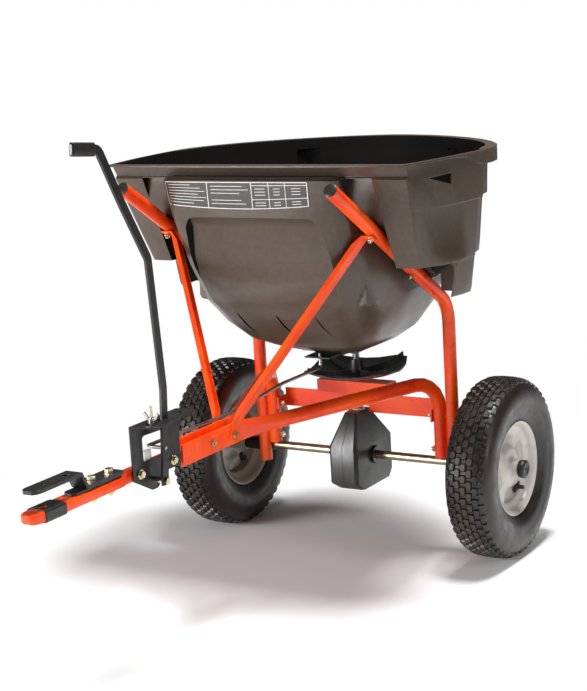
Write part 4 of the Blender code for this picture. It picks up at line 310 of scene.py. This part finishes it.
def tyre_rubber():
    """Black-brown rubber, with painted shade between the blocks and a painted highlight on their
    tops, dusty in patches and rubbed at the edges.
    """
    made = Finish("tyre_rubber_detail")
    rounded = made.rounded(radius=0.0009)
    tint = made.clouds(colour(34, 25, 18), colour(20, 14, 10), scale=16.0)
    arm = made.vector("SUBTRACT", made.place, AXLE)["Vector"]
    level = made.vector("MULTIPLY", arm, (0.0, 1.0, 1.0))["Vector"]
    radius = made.vector("LENGTH", level)["Value"]
    # Painted shade: low between the blocks the rubber turns near black.
    deep = made.spread(radius, low=0.0, high=0.85, band=GROOVE_SHADE_BAND)
    tint = made.mixed(deep, tint, colour(10, 8, 7))
    # Painted highlight: the tops of the blocks are lighter.
    top = made.spread(radius, low=0.0, high=1.0, band=BLOCK_TOP_HIGHLIGHT_BAND)
    tint = made.mixed(top, tint, colour(48, 38, 29))
    specks = made.noise(scale=70.0, detail=8.0, roughness=0.7)
    dust = made.spread(specks, low=0.0, high=0.50, band=DUST_BAND)
    tint = made.mixed(dust, tint, colour(46, 38, 32))
    tint = made.mixed(made.edge_wear_and_highlight(rounded, gain=1.6, scale=120.0), tint, colour(96, 88, 80))
    rough = made.spread(made.noise(scale=45.0, detail=6.0), low=0.26, high=0.50)
    fine = made.noise(scale=500.0, detail=3.0)
    waves = made.noise(scale=35.0, detail=4.0)
    made.bumped([(fine, 0.18, 0.0006), (waves, 0.08, 0.0015)], rounded)
    return made.done(tint, rough, Specular_IOR_Level=0.5)


def plated(name, bright, deep, gloss, along):
    """Plated or bare metal with fine drawn lines along one direction."""
    made = Finish(name)
    rounded = made.rounded(radius=0.0006)
    tint = made.clouds(bright, deep, scale=30.0)
    drawn = made.noise(scale=260.0, detail=4.0, stretch=along)
    rough = made.spread(drawn, *gloss)
    made.bumped([(drawn, 0.08, 0.0004)], rounded)
    return made.done(tint, rough, Metallic=1.0)


def rim_enamel():
    """Light grey enamel with specks of grime, and painted shade on the half that faces the middle.
    """
    made = Finish("rim_enamel")
    rounded = made.rounded(radius=0.0010)
    tint = made.clouds(colour(204, 200, 193), colour(184, 180, 173), scale=12.0)
    specks = made.noise(scale=55.0, detail=8.0, roughness=0.7)
    grime = made.spread(specks, low=0.0, high=0.30, band=GRIME_BAND)
    tint = made.mixed(grime, tint, colour(112, 104, 94))
    split = made.node("SeparateXYZ")
    made.link(made.place, split.inputs[0])
    reach = made.maths("ABSOLUTE", split.outputs["X"], 0.0)
    # Painted shade: the rim's half that faces the machine's middle is darker.
    inner_shade = made.spread(reach, low=1.0, high=0.0, band=RIM_INNER_SHADE_BAND)
    tint = made.mixed(inner_shade, tint, colour(150, 139, 124))
    rough = made.spread(made.noise(scale=60.0, detail=6.0), low=0.28, high=0.44)
    peel = made.noise(scale=380.0, detail=2.0)
    made.bumped([(peel, 0.10, 0.0005)], rounded)
    return made.done(tint, rough, Coat_Weight=0.25, Coat_Roughness=0.2)


FINISHES = {
    "orange_paint": powder_coat(
        "orange_powder_coat", colour(250, 86, 4), colour(216, 44, 3), colour(252, 140, 74),
        coat=0.05),
    "black_steel": satin_black(
        "black_coated_steel", colour(22, 20, 19), colour(14, 13, 13), colour(80, 76, 72)),
    "hopper_plastic": hopper_moulding(),
    "black_plastic": moulded_plastic(
        "black_moulding", colour(25, 21, 19), colour(16, 14, 13), colour(70, 66, 62),
        gloss=(0.28, 0.46), grain=1100.0, rounded_by=0.0012),
    "tyre_rubber": tyre_rubber(),
    "grey_rim": rim_enamel(),
    "zinc_steel": plated(
        "zinc_plate", colour(222, 210, 178), colour(190, 176, 140),
        gloss=(0.18, 0.36), along=(0.05, 1.0, 1.0)),
    "grey_steel": plated(
        "bare_steel", colour(176, 174, 172), colour(146, 144, 142),
        gloss=(0.24, 0.42), along=(1.0, 0.05, 1.0)),
    "white_nylon": moulded_plastic(
        "nylon", colour(232, 229, 222), colour(218, 214, 206), colour(240, 238, 234),
        gloss=(0.34, 0.50), grain=700.0, rounded_by=0.0008),
}


def dress_nodes():
    """Each node of the pack gets its slot's finish, and smooth shading with crisp corners."""
    for part in frame["record"]["subparts"]:
        item = nodes[part["node"]]
        mesh = item.data
        mesh.materials.clear()
        mesh.materials.append(FINISHES[part["material_slot"]])
        own_normals = mesh.attributes.get("custom_normal")
        if own_normals:
            mesh.attributes.remove(own_normals)
        mesh.shade_smooth()
        weld = item.modifiers.new("weld", "WELD")
        weld.merge_threshold = WELD_GAP
        corners = item.modifiers.new("corners", "EDGE_SPLIT")
        corners.split_angle = CORNER_ANGLE


# Mesh helpers

def make_piece(name, vertices, faces, slot, body, smooth=40.0):
    """New piece that rides on a body. Edges sharper than smooth, in degrees, stay crisp."""
    mesh = bpy.data.meshes.new(name)
    mesh.from_pydata([tuple(v) for v in vertices], [], faces)
    work = bmesh.new()
    work.from_mesh(mesh)
    bmesh.ops.recalc_face_normals(work, faces=work.faces)
    work.to_mesh(mesh)
    work.free()
    mesh.shade_smooth()
    mesh.set_sharp_from_angle(angle=math.radians(smooth))
    mesh.materials.append(FINISHES[slot])
    item = bpy.data.objects.new(name, mesh)
    bpy.context.scene.collection.objects.link(item)
    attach(item, body)
    return item


def wheel_point(side, along, radius, angle):
    """A place on a wheel. Along is measured from the wheel's middle, outboard."""
    return Vector((
        side * (TRACK_HALF + along),
        AXLE.y + radius * math.cos(angle),
        AXLE.z + radius * math.sin(angle)))


def turned(side, profile, segments):
    """Points of a profile of (along, radius) that is turned round the axle, ring by ring."""
    points = []
    for i in range(segments):
        angle = math.tau * i / segments
        points += [wheel_point(side, along, radius, angle) for along, radius in profile]
    return points


def ring_faces(rings, count, start=0, closed=True):
    """Faces between neighbouring rings of count points each, stored ring by ring."""
    faces = []
    for i in range(rings if closed else rings - 1):
        a, b = start + i * count, start + (i + 1) % rings * count
        for j in range(count):
            k = (j + 1) % count
            faces.append((a + j, a + k, b + k, b + j))
    return faces


def stack_faces(rings, count, start):
    """Faces of a stack of rings that is closed on top and at its foot."""
    top = start + (rings - 1) * count
    ends = [tuple(range(top, top + count)), tuple(range(start, start + count))]
    return ring_faces(rings, count, start, closed=False) + ends


# Tyres: a smooth carcass with rows of rubber blocks

# Outer half of the carcass from the tread's middle to the bead, as (along, radius)
CARCASS = (
    (0.0, 0.1602), (0.0120, 0.1600), (0.0220, 0.1590), (0.0300, 0.1568), (0.0360, 0.1532),
    (0.0405, 0.1478), (0.0434, 0.1400), (0.0446, 0.1310), (0.0443, 0.1220), (0.0437, 0.1205),
    (0.0432, 0.1150), (0.0415, 0.1080), (0.0392, 0.1010), (0.0385, 0.1000), (0.0362, 0.0948),
    (0.0340, 0.0908), (0.0322, 0.0884), (0.0300, 0.0868), (0.0272, 0.0840), (0.0262, 0.0802))
TYRE_SEGMENTS = 116
BLOCKS_ROUND = 50
BLOCK_HEIGHT = 0.0042
BLOCK_SINK = 0.0010
BLOCK_SHOULDER = 0.80
# Share of a block's width and length at its foot, at its shoulder and on top
BLOCK_TAPER = (1.12, 0.94, 0.80)
BLOCK_OUTLINE = (
    (-1.0, -0.72), (-0.78, -1.0), (0.78, -1.0), (1.0, -0.72),
    (1.0, 0.72), (0.78, 1.0), (-0.78, 1.0), (-1.0, 0.72))
# Rows of blocks: middle across the tread, half width, half length and shift as shares of the
# pitch, share of the height
BLOCK_ROWS = (
    (0.0000, 0.0048, 0.33, 0.0, 1.0), (0.0112, 0.0047, 0.35, 0.5, 1.0),
    (0.0218, 0.0045, 0.33, 0.0, 1.0), (0.0312, 0.0037, 0.31, 0.5, 0.75))


def carcass_at(along):
    """Radius, and outward direction across and out, of the carcass at a place on its width."""
    reach = abs(along)
    for (a0, r0), (a1, r1) in zip(CARCASS, CARCASS[1:]):
        if a0 <= reach <= a1:
            share = (reach - a0) / (a1 - a0)
            across, out = r0 - r1, a1 - a0
            size = math.hypot(across, out)
            return r0 + (r1 - r0) * share, math.copysign(across / size, along), out / size
    return CARCASS[0][1], 0.0, 1.0


def tread_block(side, middle, half_width, half_angle, angle, height, vertices, faces):
    """One tapered block with clipped corners, set into the carcass."""
    start = len(vertices)
    for lift, share in zip((-BLOCK_SINK, height * BLOCK_SHOULDER, height), BLOCK_TAPER):
        for across, ahead in BLOCK_OUTLINE:
            along = middle + across * half_width * share
            radius, sideways, outward = carcass_at(along)
            vertices.append(wheel_point(
                side, along + sideways * lift, radius + outward * lift,
                angle + ahead * half_angle * share))
    faces += stack_faces(len(BLOCK_TAPER), len(BLOCK_OUTLINE), start)


def make_tyre(side_name, side, body):
    """Tyre with seven rows of blocks."""
    profile = list(CARCASS) + [(-along, radius) for along, radius in reversed(CARCASS[1:])]
    vertices = turned(side, profile, TYRE_SEGMENTS)
    faces = ring_faces(TYRE_SEGMENTS, len(profile))
    pitch = math.tau / BLOCKS_ROUND
    for middle, half_width, half_length, shift, tall in BLOCK_ROWS:
        for sign in (1.0, -1.0) if middle else (1.0,):
            for i in range(BLOCKS_ROUND):
                tread_block(
                    side, sign * middle, half_width, half_length * pitch, pitch * (i + shift),
                    BLOCK_HEIGHT * tall, vertices, faces)
    tyre = make_piece(f"knobby_tyre_{side_name}", vertices, faces, "tyre_rubber", body)
    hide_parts(f"tyre_{side_name}")


# Rims: a pressed sheet with shallow pockets round a raised middle, welded to a hub tube

RIM_SEGMENTS = 96
# How far the disc's back lies behind its front, and nearer to the axle
RIM_SHEET = 0.0022
RIM_BACK_IN = 0.00088
RIM_SHARP = 50.0
# Profile as (along, radius): front lip, disc, hub tube, and the well behind the disc
RIM_EDGE = (
    (0.0310, 0.0862), (0.0322, 0.0852), (0.0318, 0.0838), (0.0296, 0.0822), (0.0272, 0.0800),
    (0.0240, 0.0784), (0.0196, 0.0776), (0.0176, 0.0762), (0.0160, 0.0700))
RIM_DISC = (
    (0.0150, 0.0675), (0.0134, 0.0655), (0.0130, 0.0635), (0.0130, 0.0610), (0.0130, 0.0575),
    (0.0130, 0.0530), (0.0130, 0.0485), (0.0132, 0.0445), (0.0138, 0.0410), (0.0148, 0.0385),
    (0.0166, 0.0362), (0.0178, 0.0335), (0.0184, 0.0290), (0.0186, 0.0240), (0.0192, 0.0195),
    (0.0210, 0.0168))
RIM_HUB = ((0.0360, 0.0150), (0.0360, 0.0084), (-0.0360, 0.0084), (-0.0360, 0.0150))
RIM_WELL = (
    (0.0132, 0.0655), (0.0060, 0.0640), (-0.0120, 0.0640), (-0.0160, 0.0700), (-0.0196, 0.0758),
    (-0.0272, 0.0778), (-0.0300, 0.0812), (-0.0322, 0.0840), (-0.0322, 0.0855),
    (-0.0310, 0.0862), (-0.0285, 0.0845), (-0.0262, 0.0800), (-0.0150, 0.0792),
    (-0.0110, 0.0662), (0.0110, 0.0662), (0.0150, 0.0792), (0.0262, 0.0800), (0.0285, 0.0845))
# Pockets: slopes say how quickly their sides fall, bridge how much of the round stays flat
POCKET_COUNT = 4
POCKET_DEPTH = 0.0065
POCKET_INNER = 0.0360
POCKET_OUTER = 0.0665
POCKET_TURN = math.radians(100.0)
POCKET_SLOPE_ACROSS = 2.2
POCKET_SLOPE_ROUND = 2.6
POCKET_BRIDGE = 0.22


def pocket(radius, angle):
    """How deep the disc is pressed at a place: kidney forms with quick sides."""
    if not POCKET_INNER < radius < POCKET_OUTER:
        return 0.0
    share = (radius - POCKET_INNER) / (POCKET_OUTER - POCKET_INNER)
    across = min(1.0, POCKET_SLOPE_ACROSS * math.sin(math.pi * share))
    around = 0.5 + 0.5 * math.cos(POCKET_COUNT * (angle - POCKET_TURN))
    return POCKET_DEPTH * across * min(1.0, POCKET_SLOPE_ROUND * max(around - POCKET_BRIDGE, 0.0))


def make_rim(side_name, side, body):
    """Pressed rim. Front and back of its disc sink alike in the pockets."""
    back = [(along - RIM_SHEET, radius - RIM_BACK_IN) for along, radius in reversed(RIM_DISC)]
    rows = [(*place, False) for place in RIM_EDGE]
    rows += [(*place, True) for place in RIM_DISC]
    rows += [(*place, False) for place in RIM_HUB]
    rows += [(*place, True) for place in back]
    rows += [(*place, False) for place in RIM_WELL]
    vertices = []
    for i in range(RIM_SEGMENTS):
        angle = math.tau * i / RIM_SEGMENTS
        for along, radius, pressed in rows:
            depth = pocket(radius, angle) if pressed else 0.0
            vertices.append(wheel_point(side, along - depth, radius, angle))
    faces = ring_faces(RIM_SEGMENTS, len(rows))
    rim = make_piece(f"pressed_rim_{side_name}", vertices, faces, "grey_rim", body, RIM_SHARP)
    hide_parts(f"rim_{side_name}")


# Rate label on the hopper's front: a dark plate with plain lines

LABEL_LEFT = -0.168
LABEL_RIGHT = 0.122
LABEL_TOP = 0.7215
LABEL_LOW = 0.6740
LABEL_LIFT = 0.0004
LINE_LIFT = 0.0006
# Rays that find the hopper's front start before the machine
RAY_START = -1.0
# The lower edge rises by the bow at the reach from its lowest place
LABEL_BOW = 0.0065
LABEL_BOW_PLACE = -0.020
LABEL_BOW_REACH = 0.145
PLATE_COLUMNS = 48
PLATE_ROWS = 6
LINE_STEPS = 40
UPRIGHT_STEPS = 5
FRAME_LINE = 0.0013
TEXT_LINE = 0.0009
# Drawing in shares of the label's width from the left and of its height from the top
FRAME_LEVELS = (0.03, 0.97)
FRAME_UPRIGHTS = (0.01, 0.31, 0.617, 0.99)
TABLE_LEVELS = (0.14, 0.64)
TABLE_UPRIGHTS = (0.735, 0.845)
# Blocks of plain lines: left end, first height, step, and each line's right end
LINE_BLOCKS = (
    (0.03, 0.14, 0.115, (0.19, 0.26, 0.29, 0.24, 0.30, 0.28, 0.21)),
    (0.335, 0.17, 0.125, (0.555, 0.595, 0.535, None, 0.545, 0.575)))
# Table's cells: left end and length in each column, and heights
CELL_COLUMNS = ((0.64, 0.07), (0.765, 0.045), (0.885, 0.06))
CELL_LEVELS = (0.26, 0.37, 0.48, 0.76, 0.86)


def front_tree():
    """Search tree of the hopper's faces."""
    mesh = nodes["hopper"].data
    return BVHTree.FromPolygons(
        [v.co.copy() for v in mesh.vertices], [tuple(f.vertices) for f in mesh.polygons])


def label_point(tree, u, v, lift):
    """A place over the hopper's front, by shares from the label's left and top edges."""
    x = LABEL_LEFT + (LABEL_RIGHT - LABEL_LEFT) * u
    low = LABEL_LOW + LABEL_BOW * ((x - LABEL_BOW_PLACE) / LABEL_BOW_REACH) ** 2
    z = LABEL_TOP + (low - LABEL_TOP) * v
    place = tree.ray_cast(Vector((x, RAY_START, z)), Y)[0]
    return place - Y * lift


def label_grid(tree, u0, u1, v0, v1, across, down, lift, vertices, faces):
    """Patch of the label between two shares across and two down."""
    start = len(vertices)
    for j in range(down + 1):
        for i in range(across + 1):
            u = u0 + (u1 - u0) * i / across
            v = v0 + (v1 - v0) * j / down
            vertices.append(label_point(tree, u, v, lift))
    for j in range(down):
        for i in range(across):
            a = start + j * (across + 1) + i
            faces.append((a, a + across + 1, a + across + 2, a + 1))


def make_label():
    """Dark plate and, just over it, its frame, table and lines."""
    tree = front_tree()
    width = LABEL_RIGHT - LABEL_LEFT
    height = LABEL_TOP - LABEL_LOW
    vertices, faces = [], []
    label_grid(
        tree, 0.0, 1.0, 0.0, 1.0, PLATE_COLUMNS, PLATE_ROWS, LABEL_LIFT, vertices, faces)
    make_piece("rate_label", vertices, faces, "black_plastic", "frame")
    vertices, faces = [], []

    def level(u0, u1, v, thick):
        half = thick / height / 2
        steps = max(2, int((u1 - u0) * LINE_STEPS))
        label_grid(tree, u0, u1, v - half, v + half, steps, 1, LINE_LIFT, vertices, faces)

    def upright(u, thick):
        half = thick / width / 2
        label_grid(
            tree, u - half, u + half, *FRAME_LEVELS, 1, UPRIGHT_STEPS, LINE_LIFT, vertices, faces)

    for v in FRAME_LEVELS:
        level(FRAME_UPRIGHTS[0], FRAME_UPRIGHTS[-1], v, FRAME_LINE)
    for u in FRAME_UPRIGHTS:
        upright(u, FRAME_LINE)
    for u in TABLE_UPRIGHTS:
        upright(u, TEXT_LINE)
    for v in TABLE_LEVELS:
        level(FRAME_UPRIGHTS[2], FRAME_UPRIGHTS[-1], v, TEXT_LINE)
    for left, first, step, ends in LINE_BLOCKS:
        for i, end in enumerate(ends):
            if end:
                level(left, end, first + step * i, TEXT_LINE)
    for left, length in CELL_COLUMNS:
        for v in CELL_LEVELS:
            level(left, left + length, v, TEXT_LINE)
    make_piece("rate_label_lines", vertices, faces, "white_nylon", "frame")


# Hub caps and tyre valves

# Profile as (along, radius)
CAP_PROFILE = (
    (0.0366, 0.0030), (0.0366, 0.0158), (0.0400, 0.0166), (0.0450, 0.0166), (0.0478, 0.0156),
    (0.0492, 0.0134), (0.0492, 0.0098), (0.0478, 0.0084), (0.0474, 0.0030))
CAP_SEGMENTS = 48
# Valve's place on the wheel, back and up from the axle
VALVE_PLACE = (0.0350, -0.0457)
VALVE_SEGMENTS = 24
# Valve's stem as (radius, along), grommet as (share of its oval, along)
VALVE_STEM = (
    (0.0048, -0.0030), (0.0054, 0.0110), (0.0054, 0.0140), (0.0044, 0.0160), (0.0040, 0.0200),
    (0.0036, 0.0262), (0.0030, 0.0268))
GROMMET = ((1.0, 0.0095), (1.0, 0.0136), (0.86, 0.0148), (0.62, 0.0148), (0.55, 0.0128))
GROMMET_HALF_LENGTH = 0.0125
GROMMET_HALF_WIDTH = 0.0058


def make_cap(side_name, side):
    """Round cap with a dimpled end."""
    vertices = turned(side, CAP_PROFILE, CAP_SEGMENTS)
    faces = ring_faces(CAP_SEGMENTS, len(CAP_PROFILE))
    cap = make_piece(f"round_cap_{side_name}", vertices, faces, "black_plastic", "axle")
    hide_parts(f"hub_cap_{side_name}")


def make_valve(side_name, side, body):
    """Rubber valve in an oval grommet that lies along the rim."""
    out = Vector((0.0, *VALVE_PLACE)).normalized()
    around = X.cross(out)
    middle = AXLE + Vector((side * TRACK_HALF, *VALVE_PLACE))
    stem = [(radius, radius, depth) for radius, depth in VALVE_STEM]
    grommet = [
        (GROMMET_HALF_LENGTH * share, GROMMET_HALF_WIDTH * share, depth)
        for share, depth in GROMMET]
    vertices, faces = [], []
    for rings in (stem, grommet):
        start = len(vertices)
        for half_length, half_width, depth in rings:
            for j in range(VALVE_SEGMENTS):
                angle = math.tau * j / VALVE_SEGMENTS
                ahead = around * half_length * math.cos(angle)
                outward = out * half_width * math.sin(angle)
                vertices.append(middle + side * X * depth + ahead + outward)
        faces += stack_faces(len(rings), VALVE_SEGMENTS, start)
    valve = make_piece(f"valve_{side_name}", vertices, faces, "black_plastic", body)
    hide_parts(f"valve_stem_{side_name}")


# Floor, light and camera

def make_floor():
    """Pale floor. It keeps the shadow near the object and grows into white away from it."""
    mesh = bpy.data.meshes.new("floor")
    corners = [(x * FLOOR_HALF, y * FLOOR_HALF, 0) for x, y in ((-1, -1), (1, -1), (1, 1), (-1, 1))]
    mesh.from_pydata(corners, [], [(0, 1, 2, 3)])
    floor = bpy.data.objects.new("floor", mesh)
    bpy.context.scene.collection.objects.link(floor)
    made = bpy.data.materials.new("pale_floor")
    made.use_nodes = True
    tree = made.node_tree
    shader = tree.nodes["Principled BSDF"]
    shader.inputs["Base Color"].default_value = FLOOR_TONE
    shader.inputs["Roughness"].default_value = FLOOR_ROUGHNESS
    shader.inputs["Specular IOR Level"].default_value = 0.0
    white = tree.nodes.new("ShaderNodeEmission")
    place = tree.nodes.new("ShaderNodeTexCoord")
    away = tree.nodes.new("ShaderNodeVectorMath")
    away.operation = "DISTANCE"
    away.inputs[1].default_value = FLOOR_MIDDLE
    grow = tree.nodes.new("ShaderNodeMapRange")
    grow.interpolation_type = "SMOOTHSTEP"
    grow.inputs["From Min"].default_value = FLOOR_NEAR
    grow.inputs["From Max"].default_value = FLOOR_FAR
    path = tree.nodes.new("ShaderNodeLightPath")
    share = tree.nodes.new("ShaderNodeMath")
    share.operation = "MULTIPLY"
    mixed = tree.nodes.new("ShaderNodeMixShader")
    for start, end in (
            (place.outputs["Object"], away.inputs[0]),
            (away.outputs["Value"], grow.inputs["Value"]),
            (grow.outputs["Result"], share.inputs[0]),
            (path.outputs["Is Camera Ray"], share.inputs[1]),
            (share.outputs["Value"], mixed.inputs["Fac"]),
            (shader.outputs["BSDF"], mixed.inputs[1]),
            (white.outputs["Emission"], mixed.inputs[2]),
            (mixed.outputs["Shader"], tree.nodes["Material Output"].inputs["Surface"])):
        tree.links.new(start, end)
    mesh.materials.append(made)


def make_world():
    """Faint even light, with plain white behind the object."""
    world = bpy.data.worlds.new("studio")
    bpy.context.scene.world = world
    world.use_nodes = True
    tree = world.node_tree
    plain = tree.nodes["Background"]
    plain.inputs["Color"].default_value = WHITE
    plain.inputs["Strength"].default_value = WORLD_LIGHT
    seen = tree.nodes.new("ShaderNodeBackground")
    seen.inputs["Color"].default_value = WHITE
    seen.inputs["Strength"].default_value = 1.0
    path = tree.nodes.new("ShaderNodeLightPath")
    either = tree.nodes.new("ShaderNodeMath")
    either.operation = "MAXIMUM"
    chosen = tree.nodes.new("ShaderNodeMixShader")
    for start, end in (
            (path.outputs["Is Camera Ray"], either.inputs[0]),
            (path.outputs["Is Transmission Ray"], either.inputs[1]),
            (either.outputs["Value"], chosen.inputs["Fac"]),
            (plain.outputs["Background"], chosen.inputs[1]),
            (seen.outputs["Background"], chosen.inputs[2]),
            (chosen.outputs["Shader"], tree.nodes["World Output"].inputs["Surface"])):
        tree.links.new(start, end)


def make_lamp(name, place, target, size, power):
    """Rectangular lamp that faces its target."""
    data = bpy.data.lights.new(name, "AREA")
    data.shape = "RECTANGLE"
    data.size, data.size_y = size
    data.energy = power
    lamp = bpy.data.objects.new(name, data)
    lamp.location = place
    away = Vector(place) - Vector(target)
    lamp.rotation_euler = away.to_track_quat("Z", "Y").to_euler()
    bpy.context.scene.collection.objects.link(lamp)


def make_camera():
    """Camera as fitted to the photograph."""
    flat = math.cos(CAMERA_ELEVATION)
    back = Vector((
        math.sin(CAMERA_AZIMUTH) * flat,
        -math.cos(CAMERA_AZIMUTH) * flat,
        math.sin(CAMERA_ELEVATION)))
    right = Vector((math.cos(CAMERA_AZIMUTH), math.sin(CAMERA_AZIMUTH), 0.0))
    up = back.cross(right)
    turned_right = right * math.cos(CAMERA_ROLL) - up * math.sin(CAMERA_ROLL)
    turned_up = right * math.sin(CAMERA_ROLL) + up * math.cos(CAMERA_ROLL)
    target = AXLE + right * CAMERA_RIGHT + up * CAMERA_UP
    matrix = Matrix((turned_right, turned_up, back)).transposed().to_4x4()
    matrix.translation = target + back * CAMERA_DISTANCE
    data = bpy.data.cameras.new("camera")
    data.sensor_fit = "HORIZONTAL"
    data.sensor_width = SENSOR_WIDTH
    data.lens = FOCAL_PIXELS / IMAGE_WIDTH * SENSOR_WIDTH
    camera = bpy.data.objects.new("camera", data)
    camera.matrix_world = matrix
    bpy.context.scene.collection.objects.link(camera)
    bpy.context.scene.camera = camera


dress_nodes()
make_label()
for side_name, side, body in (("right", 1.0, "axle"), ("left", -1.0, "left_wheel")):
    make_tyre(side_name, side, body)
    make_rim(side_name, side, body)
    make_cap(side_name, side)
    make_valve(side_name, side, body)

make_floor()
make_world()
for lamp in LAMPS:
    make_lamp(*lamp)
make_camera()
bpy.context.scene.view_settings.view_transform = "Standard"
